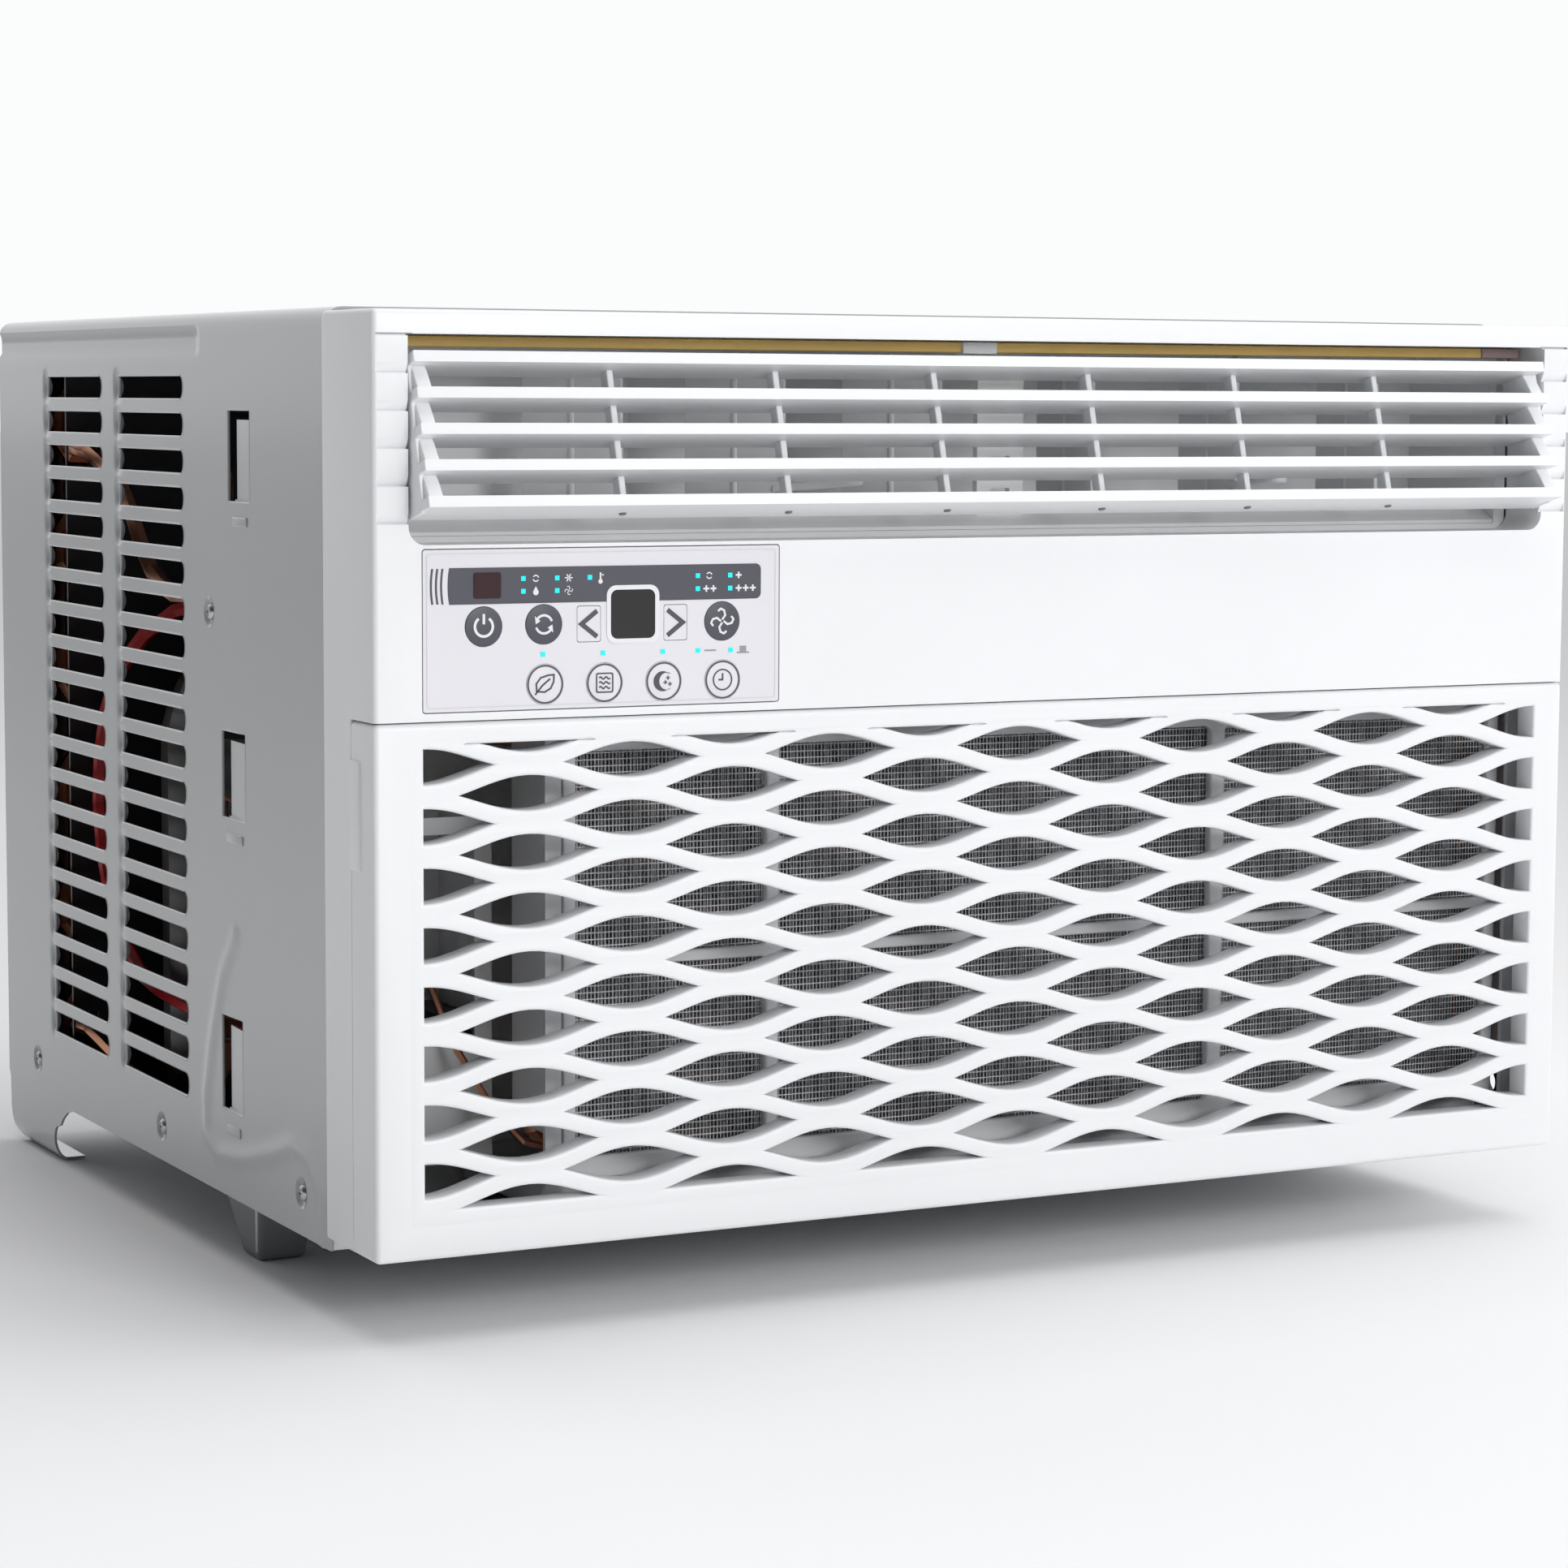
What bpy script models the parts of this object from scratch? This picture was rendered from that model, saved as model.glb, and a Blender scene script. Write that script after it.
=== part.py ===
"""A window air conditioner, modelled as the pieces that it comes apart into.

Units are metres and +Z is up. The unit stands on Z = 0, the room side faces -Y and +X is the
right-hand side seen from the room. The origin is under the middle of the whole unit.
Depths along Y are counted from the bezel's front face, and heights from the bezel's lower edge.
"""

import math

import bmesh
import bpy
from mathutils import Matrix, Vector

# Driving dimensions
WIDTH = 0.484  # bezel, side to side
BEZEL_HEIGHT = 0.3135
BEZEL_DEPTH = 0.0455
DEPTH = 0.428  # bezel's face to the cabinet's rear edge
FOOT_DROP = 0.029  # from the bezel's lower edge down to the surface
CABINET_TOP = 0.315  # above the bezel's lower edge
CABINET_INSET = 0.0015  # the cabinet's side stands back from the bezel's side
SHEET = 0.001  # steel sheet
WALL = 0.0025  # moulded wall
GAP = 0.0004  # between pieces that touch

# Front openings
PANEL_TOP = 0.1788  # upper edge of the intake panel
PANEL_DEPTH = 0.0206
GRILLE_LEFT, GRILLE_RIGHT = -0.2245, 0.2290
GRILLE_LOW, GRILLE_HIGH = 0.0165, 0.1715
GRILLE_RIB = 0.011  # depth of the grille's ribs
LENS_COLUMNS = 12  # half waves across the grille
LENS_PITCH = 0.0197  # from one lens row to the next
OUTLET_HALF = 0.2300
OUTLET_LOW, OUTLET_HIGH = 0.2370, 0.3055

# Louver frame
BLADES = 5
BLADE_PITCH = 0.0121
BLADE_THICK = 0.0037
BLADE_FRONT, BLADE_BACK = -0.0155, -0.0005  # from the louver's pivot
LOUVER_TILT = math.radians(15)
LOUVER_PIVOT_Y, LOUVER_PIVOT_Z = 0.0068, 0.2710
LOUVER_HALF_HEIGHT = (BLADES - 1) / 2 * BLADE_PITCH + BLADE_THICK / 2
LOUVER_REACH = (
    -BLADE_FRONT * math.cos(LOUVER_TILT)
    + LOUVER_HALF_HEIGHT * math.sin(LOUVER_TILT)
    - LOUVER_PIVOT_Y
)

# Vertical vanes
VANE_X = [-0.1470, -0.0840, -0.0208, 0.0523, 0.1152, 0.1785]
VANE_Y = 0.054
VANE_CHORD = 0.039
VANE_LOW, VANE_HIGH = 0.2405, 0.2955
VANE_REST = [math.radians(a) for a in (38, 38, 38, 0, 0, 0)]
VANE_LEVER = 0.0275  # how far the middle vane's lever reaches past its front edge
LINK_ARM = 0.014  # the link's pins stand this far behind the vane's pivot

# Fan line
FAN_X, FAN_Z = 0.030, 0.118
BLOWER_RADIUS = 0.070
FAN_RADIUS = 0.104
SHAFT_RADIUS = 0.004

# Buttons: name, centre from the middle of the bezel, height, radius
ROUND_BUTTONS = [
    ("button_power", -0.2033, 0.2100, 0.0063),
    ("button_mode", -0.1817, 0.2103, 0.0063),
    ("button_fan", -0.1158, 0.2100, 0.0063),
    ("button_eco", -0.1813, 0.1904, 0.0064),
    ("button_filter", -0.1596, 0.1903, 0.0064),
    ("button_sleep", -0.1377, 0.1902, 0.0064),
    ("button_timer", -0.1156, 0.1901, 0.0064),
]
ARROW_BUTTONS = [("button_down", -0.1653, 0.2101, -1), ("button_up", -0.1333, 0.2099, 1)]
BUTTON_GAP = 0.0005
DISPLAY_X, DISPLAY_Z, DISPLAY_SIDE = -0.1491, 0.2133, 0.0178
EYE_X, EYE_Z, EYE_SIDE = -0.2020, 0.2235, 0.0096
OVERLAY_LEFT, OVERLAY_RIGHT = -0.2247, -0.0942

FRONT = -(DEPTH - LOUVER_REACH) / 2
BASE = FOOT_DROP

for leftover in list(bpy.data.objects):
    bpy.data.objects.remove(leftover)
parts = bpy.data.collections.new("window_air_conditioner")
cutters = bpy.data.collections.new("cutters")
bpy.context.scene.collection.children.link(parts)
bpy.context.scene.collection.children.link(cutters)


def paint(name, colour, roughness, metallic=0.0):
    made = bpy.data.materials.new(name)
    made.use_nodes = True
    shader = made.node_tree.nodes["Principled BSDF"]
    shader.inputs["Base Color"].default_value = (*colour, 1.0)
    shader.inputs["Roughness"].default_value = roughness
    shader.inputs["Metallic"].default_value = metallic
    return made


WHITE = paint("white_plastic", (0.90, 0.91, 0.92), 0.35)
OVERLAY = paint("overlay_grey", (0.82, 0.81, 0.84), 0.4)
SLATE = paint("slate_plastic", (0.11, 0.10, 0.13), 0.35)
BLACK = paint("black_plastic", (0.02, 0.02, 0.022), 0.3)
MAROON = paint("eye_filter", (0.06, 0.012, 0.015), 0.15)
ENAMEL = paint("enamelled_steel", (0.62, 0.64, 0.66), 0.25)
STEEL = paint("galvanised_steel", (0.45, 0.46, 0.48), 0.4, 1.0)
DARK_STEEL = paint("dark_steel", (0.10, 0.105, 0.11), 0.45)
FOAM = paint("yellow_foam", (0.85, 0.62, 0.22), 0.9)
FINS = paint("aluminium_fins", (0.66, 0.67, 0.69), 0.35, 1.0)
COPPER = paint("copper_tube", (0.72, 0.38, 0.24), 0.3, 1.0)
COMPRESSOR_BLACK = paint("compressor_black", (0.015, 0.015, 0.017), 0.4)
GREEN = paint("circuit_board", (0.03, 0.16, 0.07), 0.5)
RED = paint("red_lead", (0.55, 0.03, 0.03), 0.5)
MESH_GREY = paint("filter_mesh", (0.20, 0.21, 0.22), 0.8)
DUCT = paint("duct_plastic", (0.78, 0.79, 0.80), 0.5)


def place(mesh, name, coat):
    """Puts a mesh in the scene: a part if it has a coat of paint, and otherwise a helper."""
    obj = bpy.data.objects.new(name, mesh)
    if coat:
        mesh.materials.append(coat)
        parts.objects.link(obj)
    else:
        cutters.objects.link(obj)
        obj.hide_render = True
        obj.display_type = "WIRE"
    return obj


def box(name, x, y, z, coat=None):
    """A box between the two ends given for each direction."""
    low, high = Vector((x[0], y[0], z[0])), Vector((x[1], y[1], z[1]))
    made = bmesh.new()
    bmesh.ops.create_cube(made, size=1.0)
    bmesh.ops.scale(made, vec=high - low, verts=made.verts)
    bmesh.ops.translate(made, vec=(high + low) / 2, verts=made.verts)
    mesh = bpy.data.meshes.new(name)
    made.to_mesh(mesh)
    made.free()
    return place(mesh, name, coat)


def rod(name, centre, radius, length, axis, coat=None, sides=16):
    """A cylinder centred on a point and along X, Y or Z."""
    turn = {"X": Matrix.Rotation(math.pi / 2, 4, "Y"), "Y": Matrix.Rotation(-math.pi / 2, 4, "X")}
    made = bmesh.new()
    bmesh.ops.create_cone(
        made, cap_ends=True, segments=sides, depth=length,
        radius1=radius, radius2=radius,
        matrix=Matrix.Translation(centre) @ turn.get(axis, Matrix.Identity(4)),
    )
    mesh = bpy.data.meshes.new(name)
    made.to_mesh(mesh)
    made.free()
    mesh.shade_smooth()
    mesh.set_sharp_from_angle(angle=math.radians(40))
    return place(mesh, name, coat)


def turned(name, profile, centre, axis, coat, steps=24, closed=False):
    """A turned solid. The profile holds (radius, height) down its outer side."""
    mesh = bpy.data.meshes.new(name)
    edges = [(i, i + 1) for i in range(len(profile) - 1)]
    if closed:
        edges.append((len(profile) - 1, 0))
    mesh.from_pydata([(r, 0, h) for r, h in profile], edges, [])
    obj = place(mesh, name, coat)
    spin = obj.modifiers.new("turn", "SCREW")
    spin.steps = spin.render_steps = steps
    spin.use_merge_vertices = True
    spin.merge_threshold = 1e-5
    obj.location = centre
    if axis == "Y":
        obj.rotation_euler = (-math.pi / 2, 0, 0)
    return obj


def solid_copy(obj, name, coat):
    """The evaluated shape of an object as a plain mesh in world space. The first object goes."""
    bpy.context.view_layer.update()
    graph = bpy.context.evaluated_depsgraph_get()
    mesh = bpy.data.meshes.new_from_object(obj.evaluated_get(graph))
    mesh.transform(obj.matrix_world)
    mesh.materials.clear()
    made = bmesh.new()
    made.from_mesh(mesh)
    bmesh.ops.remove_doubles(made, verts=made.verts, dist=1e-6)
    made.to_mesh(mesh)
    made.free()
    mesh.name = name
    bpy.data.objects.remove(obj)
    return place(mesh, name, coat)


def plate(name, loops, middle, thickness, normal, coat=None):
    """A flat sheet. Its outline comes first in loops and its holes after it, as (across, up)."""
    curve = bpy.data.curves.new(name, "CURVE")
    curve.dimensions = "2D"
    curve.fill_mode = "BOTH"
    curve.extrude = thickness / 2
    for loop in loops:
        spline = curve.splines.new("POLY")
        spline.points.add(len(loop) - 1)
        for point, (across, up) in zip(spline.points, loop):
            point.co = (across, up, 0, 1)
        spline.use_cyclic_u = True
    obj = bpy.data.objects.new(name, curve)
    parts.objects.link(obj)
    if normal == "Y":
        obj.matrix_world = Matrix.Translation((0, middle, 0)) @ Matrix.Rotation(math.pi / 2, 4, "X")
    elif normal == "X":
        turn = Matrix(((0, 0, 1, 0), (1, 0, 0, 0), (0, 1, 0, 0), (0, 0, 0, 1)))
        obj.matrix_world = Matrix.Translation((middle, 0, 0)) @ turn
    else:
        obj.matrix_world = Matrix.Translation((0, 0, middle))
    return solid_copy(obj, name, coat)


def ribbon(name, path, y, thickness, coat=None, closed=False):
    """A bent sheet: a path of (x, z) points drawn out along Y, with the path at mid-thickness."""
    made = bmesh.new()
    ends = [[made.verts.new((px, end, pz)) for px, pz in path] for end in y]
    count = len(path)
    for i in range(count if closed else count - 1):
        j = (i + 1) % count
        made.faces.new((ends[0][i], ends[0][j], ends[1][j], ends[1][i]))
    mesh = bpy.data.meshes.new(name)
    made.to_mesh(mesh)
    made.free()
    obj = place(mesh, name, coat)
    skin = obj.modifiers.new("thickness", "SOLIDIFY")
    skin.thickness = thickness
    skin.offset = 0
    skin.use_even_offset = True
    return solid_copy(obj, name, coat)


def tube(name, points, radius, coat, spacing=0.014, rounding=1):
    """A bent tube or wire on a smooth curve through its points."""
    curve = bpy.data.curves.new(name, "CURVE")
    curve.dimensions = "3D"
    curve.bevel_depth = radius
    curve.bevel_resolution = rounding
    curve.use_fill_caps = True
    spline = curve.splines.new("POLY")
    route = smooth(points, spacing)
    spline.points.add(len(route) - 1)
    for point, spot in zip(spline.points, route):
        point.co = (*spot, 1)
    obj = bpy.data.objects.new(name, curve)
    curve.materials.append(coat)
    parts.objects.link(obj)
    return obj


def smooth(points, spacing):
    """Points along a Catmull-Rom curve through the ones given, about evenly spaced."""
    knots = [Vector(p) for p in points]
    knots = [2 * knots[0] - knots[1], *knots, 2 * knots[-1] - knots[-2]]
    route = [knots[1]]
    for a, b, c, d in zip(knots, knots[1:], knots[2:], knots[3:]):
        steps = max(1, round((c - b).length / spacing))
        for i in range(1, steps + 1):
            t = i / steps
            route.append(
                0.5 * (2 * b + (c - a) * t + (2 * a - 5 * b + 4 * c - d) * t**2
                       + (3 * b - a - 3 * c + d) * t**3)
            )
    return route


def boolean(obj, tools, operation):
    for tool in tools:
        step = obj.modifiers.new(tool.name, "BOOLEAN")
        step.operation = operation
        step.solver = "EXACT"
        step.object = tool
    return obj


def cut(obj, *tools):
    return boolean(obj, tools, "DIFFERENCE")


def join(obj, *tools):
    return boolean(obj, tools, "UNION")


def joined_helper(name, pieces):
    """One helper object that holds several separate solids, for a single cut."""
    made = bmesh.new()
    for piece in pieces:
        made.from_mesh(piece.data)
        bpy.data.objects.remove(piece)
    mesh = bpy.data.meshes.new(name)
    made.to_mesh(mesh)
    made.free()
    return place(mesh, name, None)


def set_origin(obj, point):
    """Moves an object's origin to a point on its joint's axis. Its shape stays where it is."""
    mark = Vector(point)
    obj.data.transform(Matrix.Translation(-mark))
    obj.location = mark


def rectangle(x, z, radius=0.0, corner=3):
    """Outline of a rectangle, anticlockwise, with round corners where a radius is given."""
    if not radius:
        return [(x[0], z[0]), (x[1], z[0]), (x[1], z[1]), (x[0], z[1])]
    centres = [
        (x[1] - radius, z[0] + radius, -90), (x[1] - radius, z[1] - radius, 0),
        (x[0] + radius, z[1] - radius, 90), (x[0] + radius, z[0] + radius, 180),
    ]
    return [
        (cx + radius * math.cos(math.radians(start + 90 * i / corner)),
         cz + radius * math.sin(math.radians(start + 90 * i / corner)))
        for cx, cz, start in centres for i in range(corner + 1)
    ]


def circle(cx, cz, radius, sides=24, start=0.0):
    return [
        (cx + radius * math.cos(start + 2 * math.pi * i / sides),
         cz + radius * math.sin(start + 2 * math.pi * i / sides))
        for i in range(sides)
    ]


def deep(*depths):
    """Depths behind the bezel's face, as places along Y."""
    return tuple(FRONT + depth for depth in depths)


def high(*heights):
    """Heights above the bezel's lower edge, as places along Z."""
    return tuple(BASE + height for height in heights)


def both(half):
    return (-half, half)


def sheet_outline(half, low, top):
    """Outline of a sheet that stands across the cabinet, clear of the pan's rims and the round top edges."""
    rim = half - SHEET - 2 * GAP
    return [(-rim, low), (rim, low), (rim, 0.0226), (half, 0.0226), (half, top - 0.007), (half - 0.007, top),
            (0.007 - half, top), (-half, top - 0.007), (-half, 0.0226), (-rim, 0.0226)]


def shifted(loop, up=BASE):
    return [(across, height + up) for across, height in loop]


def make_base():
    inner = WIDTH / 2 - CABINET_INSET - SHEET - GAP
    pan = box("base_pan", both(inner), deep(0.047, 0.4225), high(-0.0042, 0.022), STEEL)
    hollow = box("pan_hollow", both(inner - SHEET), deep(0.048, 0.4215), high(-0.0032, 0.03))
    front_way = box("pan_front_way", both(inner + 0.01), deep(0.04, 0.0490), high(0.0006, 0.03))
    cut(pan, hollow, front_way)
    for side, name in ((-1, "front_foot_left"), (1, "front_foot_right")):
        foot = box(name, both(0.012), deep(0.147, 0.190), (0.0, BASE - 0.0046), DARK_STEEL)
        for corner in foot.data.vertices:
            if corner.co.z < 0.001:
                corner.co.x = side * max(side * corner.co.x, -0.006)
                corner.co.y = min(corner.co.y, deep(0.165)[0])
            corner.co.x += side * (WIDTH / 2 - 0.024)
        bevel = foot.modifiers.new("soft_edges", "BEVEL")
        bevel.width = 0.002
        bevel.segments = 1


def make_cabinet():
    side = WIDTH / 2 - CABINET_INSET - SHEET / 2
    top = BASE + CABINET_TOP - SHEET / 2
    radius = 0.006
    corner = [(math.cos(math.radians(a)), math.sin(math.radians(a))) for a in (0, 30, 60, 90)]
    right = [(side - radius + radius * c, top - radius + radius * s) for c, s in corner]
    low = SHEET / 2
    right = [(side - 0.020, low), (side - 0.004, low), (side - 0.0012, low + 0.0012),
             (side, low + 0.004)] + right
    path = right + [(-px, pz) for px, pz in reversed(right)]
    y = deep(BEZEL_DEPTH + 0.0008, DEPTH)
    shell = ribbon("cabinet", path, y, SHEET, ENAMEL)
    hem = BASE - 0.0042  # the sides' lower edge, between the feet
    between_feet = [
        (deep(0.02)[0], -0.01), (deep(0.362)[0], -0.01), (deep(0.357)[0], 0.010),
        (deep(0.346)[0], hem - 0.004), (deep(0.336)[0], hem), (deep(0.02)[0], hem),
    ]
    cut(shell, plate("between_feet", [between_feet], 0.0, WIDTH + 0.02, "X"))
    behind_feet = [(deep(0.4212)[0], -0.01), (deep(0.45)[0], -0.01), (deep(0.45)[0], BASE),
                   (deep(0.4275)[0], BASE - 0.006)]
    cut(shell, plate("behind_feet", [behind_feet], 0.0, WIDTH + 0.02, "X"))
    vents = []
    for row in range(20):
        middle = 0.0297 + 0.0136 * row
        for near, far in ((0.1925, 0.2705), (0.2890, 0.3625)):
            vents.append(box("vent", both(WIDTH), deep(near, far), high(middle - 0.0046, middle + 0.0046)))
    for near, low_edge in ((0.1375, 0.2485), (0.1445, 0.1300), (0.1490, 0.0280)):
        vents.append(box("slot", both(WIDTH), deep(near, near + 0.0062), high(low_edge, low_edge + 0.0325)))
    cut(shell, joined_helper("side_vents", vents))


def make_rear_guard():
    half = WIDTH / 2 - CABINET_INSET - SHEET - GAP
    outline = sheet_outline(half, 0.0010, CABINET_TOP - SHEET - GAP)
    holes = [
        rectangle((left, left + 0.1360), (low, low + 0.0150))
        for left in (-0.2200, -0.0680, 0.0840) for low in (0.030 + 0.0235 * n for n in range(11))
    ]
    loops = [shifted(loop) for loop in [outline, *holes]]
    plate("rear_guard", loops, deep(0.4245)[0], 0.0012, "Y", ENAMEL)


def make_bezel():
    half = WIDTH / 2
    shell = box("front_bezel", both(half), deep(0.0, BEZEL_DEPTH + 0.02), high(0.0, BEZEL_HEIGHT), WHITE)
    bevel = shell.modifiers.new("soft_edges", "BEVEL")
    bevel.width = 0.005
    bevel.segments = 3
    step = box("panel_seat", both(0.3), deep(-0.01, PANEL_DEPTH + 0.0004), high(-0.01, PANEL_TOP + 0.0004))
    inside = box("bezel_hollow", both(half - WALL), deep(WALL, 0.08), high(WALL, BEZEL_HEIGHT - WALL))
    back = box("bezel_back", both(0.3), deep(BEZEL_DEPTH, 0.09), high(-0.01, 0.33))
    lower_face = box(
        "lower_face", both(half - 0.001), deep(PANEL_DEPTH + 0.0004, PANEL_DEPTH + 0.0024),
        high(0.001, PANEL_TOP + 0.003),
    )
    ledge = box("ledge", both(half - 0.001), deep(0.0015, PANEL_DEPTH + 0.002),
                high(PANEL_TOP + 0.0004, PANEL_TOP + 0.0024))
    tunnel = box("outlet_collar", both(OUTLET_HALF + 0.002), deep(0.001, 0.0215),
                 high(OUTLET_LOW - 0.002, OUTLET_HIGH + 0.002))
    cut(shell, step, inside, back)
    join(shell, lower_face, ledge, tunnel)
    outlet = box("outlet", both(OUTLET_HALF), deep(-0.01, 0.03), high(OUTLET_LOW, OUTLET_HIGH))
    intake = joined_helper("intake", [
        box("intake", (-0.1660, 0.2330), deep(0.015, 0.03), high(0.012, 0.1735)),
        box("intake", (-0.2330, -0.1720), deep(0.015, 0.03), high(0.012, 0.1735)),
    ])
    overlay_seat = box("overlay_seat", (OVERLAY_LEFT - GAP, OVERLAY_RIGHT + GAP), deep(-0.01, 0.01),
                       high(PANEL_TOP + 0.0030, 0.2358))
    pivots = joined_helper("pivots", [
        rod("pivot", (side * OUTLET_HALF, *deep(LOUVER_PIVOT_Y), *high(LOUVER_PIVOT_Z)),
            0.0031, 0.012, "X", sides=12)
        for side in (-1, 1)
    ])
    gland_hole = rod("gland_hole", (half, *deep(0.034), *high(0.020)), 0.0078, 0.02, "X")
    cut(shell, outlet, intake, overlay_seat, pivots, gland_hole)
    gland = turned("cord_gland", [(0.0102, 0.0), (0.0102, -0.0018), (0.0074, -0.0018), (0.0074, -0.0046),
                          (0.0046, -0.0046), (0.0046, 0.0)],
           (0, 0, 0), "Z", BLACK, 20, closed=True)
    gland.rotation_euler = (0, -math.pi / 2, 0)
    gland.location = (half - WALL - 0.0022, *deep(0.034), *high(0.020))


def arrow(cx, cz, way):
    """Outline of an arrow key's face."""
    return [(cx - way * 0.0038, cz - 0.0056), (cx - way * 0.0002, cz - 0.0056), (cx + way * 0.0040, cz),
            (cx - way * 0.0002, cz + 0.0056), (cx - way * 0.0038, cz + 0.0056)][::way]


def make_controls():
    low, top = PANEL_TOP + 0.0034, 0.2354
    loops = [rectangle((OVERLAY_LEFT, OVERLAY_RIGHT), (low, top))]
    for _, cx, cz, radius in ROUND_BUTTONS:
        loops.append(circle(cx, cz, radius + BUTTON_GAP, 16))
    for _, cx, cz, way in ARROW_BUTTONS:
        loops.append(rectangle((cx - 0.0044, cx + 0.0044), (cz - 0.0061, cz + 0.0061)))
    for cx, cz, side in ((DISPLAY_X, DISPLAY_Z, DISPLAY_SIDE), (EYE_X, EYE_Z, EYE_SIDE)):
        reach = side / 2 + GAP
        loops.append(rectangle((cx - reach, cx + reach), (cz - reach, cz + reach)))
    plate("control_panel", [shifted(loop) for loop in loops], deep(0.0011)[0], 0.0022, "Y", OVERLAY)
    for name, cx, cz, side, coat in (
        ("display_window", DISPLAY_X, DISPLAY_Z, DISPLAY_SIDE, BLACK),
        ("eye_window", EYE_X, EYE_Z, EYE_SIDE, MAROON),
    ):
        outline = rectangle((cx - side / 2, cx + side / 2), (cz - side / 2, cz + side / 2), 0.0016)
        plate(name, [shifted(outline)], deep(0.0011)[0], 0.0020, "Y", coat)
    for name, cx, cz, radius in ROUND_BUTTONS:
        key = plate(name, [shifted(circle(cx, cz, radius, 16))], deep(0.0009)[0], 0.0022, "Y", SLATE)
        set_origin(key, (cx, *deep(0.0), *high(cz)))
    for name, cx, cz, way in ARROW_BUTTONS:
        key = plate(name, [shifted(arrow(cx, cz, way))], deep(0.0009)[0], 0.0022, "Y", SLATE)
        set_origin(key, (cx, *deep(0.0), *high(cz)))
    box("control_board", (-0.222, -0.098), deep(0.0080, 0.0096), high(0.1845, 0.2325), GREEN)


def make_outlet():
    duct = box("outlet_duct", both(0.2295), deep(0.0220, 0.1120), high(0.2362, 0.3075), DUCT)
    straight = box("duct_mouth", both(0.2245), deep(0.01, 0.0765), high(0.2390, 0.3045))
    taper = box("duct_throat", both(0.2245), deep(0.0760, 0.1130), high(0.2390, 0.3045))
    for corner in taper.data.vertices:
        if corner.co.y > deep(0.1)[0]:
            corner.co.x = 0.165 if corner.co.x > 0 else -0.095
    pins = joined_helper("vane_sockets", [
        rod("socket", (x, *deep(VANE_Y), *high(0.2719)), 0.0021, 0.08, "Z", sides=8) for x in VANE_X
    ])
    cut(duct, straight, taper, pins)
    lows = (0.246, 0.2575, 0.269, 0.2805, 0.292)
    holes = [rectangle((0.0055, 0.0135), (low, low + 0.0075)) for low in lows]
    outline = rectangle((0.0, 0.019), (0.2375, 0.306))
    post = plate("centre_post", [shifted(loop) for loop in [outline, *holes]],
                 deep(0.0300)[0], 0.0030, "Y")
    join(duct, post)
    box("outlet_lining", both(0.2285), deep(0.0135, 0.0212), high(0.3014, 0.3051), FOAM)


def make_louver():
    pivot = Vector((0, *deep(LOUVER_PIVOT_Y), *high(LOUVER_PIVOT_Z)))
    half = OUTLET_HALF - 0.0012
    frame = box("louver_frame", (-half, -half + 0.002), (BLADE_FRONT + 0.001, 0.0035),
                both(LOUVER_HALF_HEIGHT + 0.0006), WHITE)
    pieces = [box("end_plate", (half - 0.002, half), (BLADE_FRONT + 0.001, 0.0035),
                  both(LOUVER_HALF_HEIGHT + 0.0006))]
    for i in range(BLADES):
        middle = (i - (BLADES - 1) / 2) * BLADE_PITCH
        pieces.append(box("blade", both(half - 0.001), (BLADE_FRONT, BLADE_BACK),
                          (middle - BLADE_THICK / 2, middle + BLADE_THICK / 2)))
    for x in (-0.1547, -0.0925, -0.0305, 0.0325, 0.0943, 0.1564):
        pieces.append(box("rib", (x - 0.0012, x + 0.0012), (BLADE_FRONT + 0.003, BLADE_BACK - 0.001),
                          both(LOUVER_HALF_HEIGHT - 0.001)))
    for side in (-1, 1):
        pieces.append(rod("pin", (side * (half + 0.0006), 0, 0), 0.0026, 0.0050, "X", sides=12))
    join(frame, *pieces)
    frame = solid_copy(frame, "louver_frame", WHITE)
    frame.location = pivot
    frame.rotation_euler = (-LOUVER_TILT, 0, 0)


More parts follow.
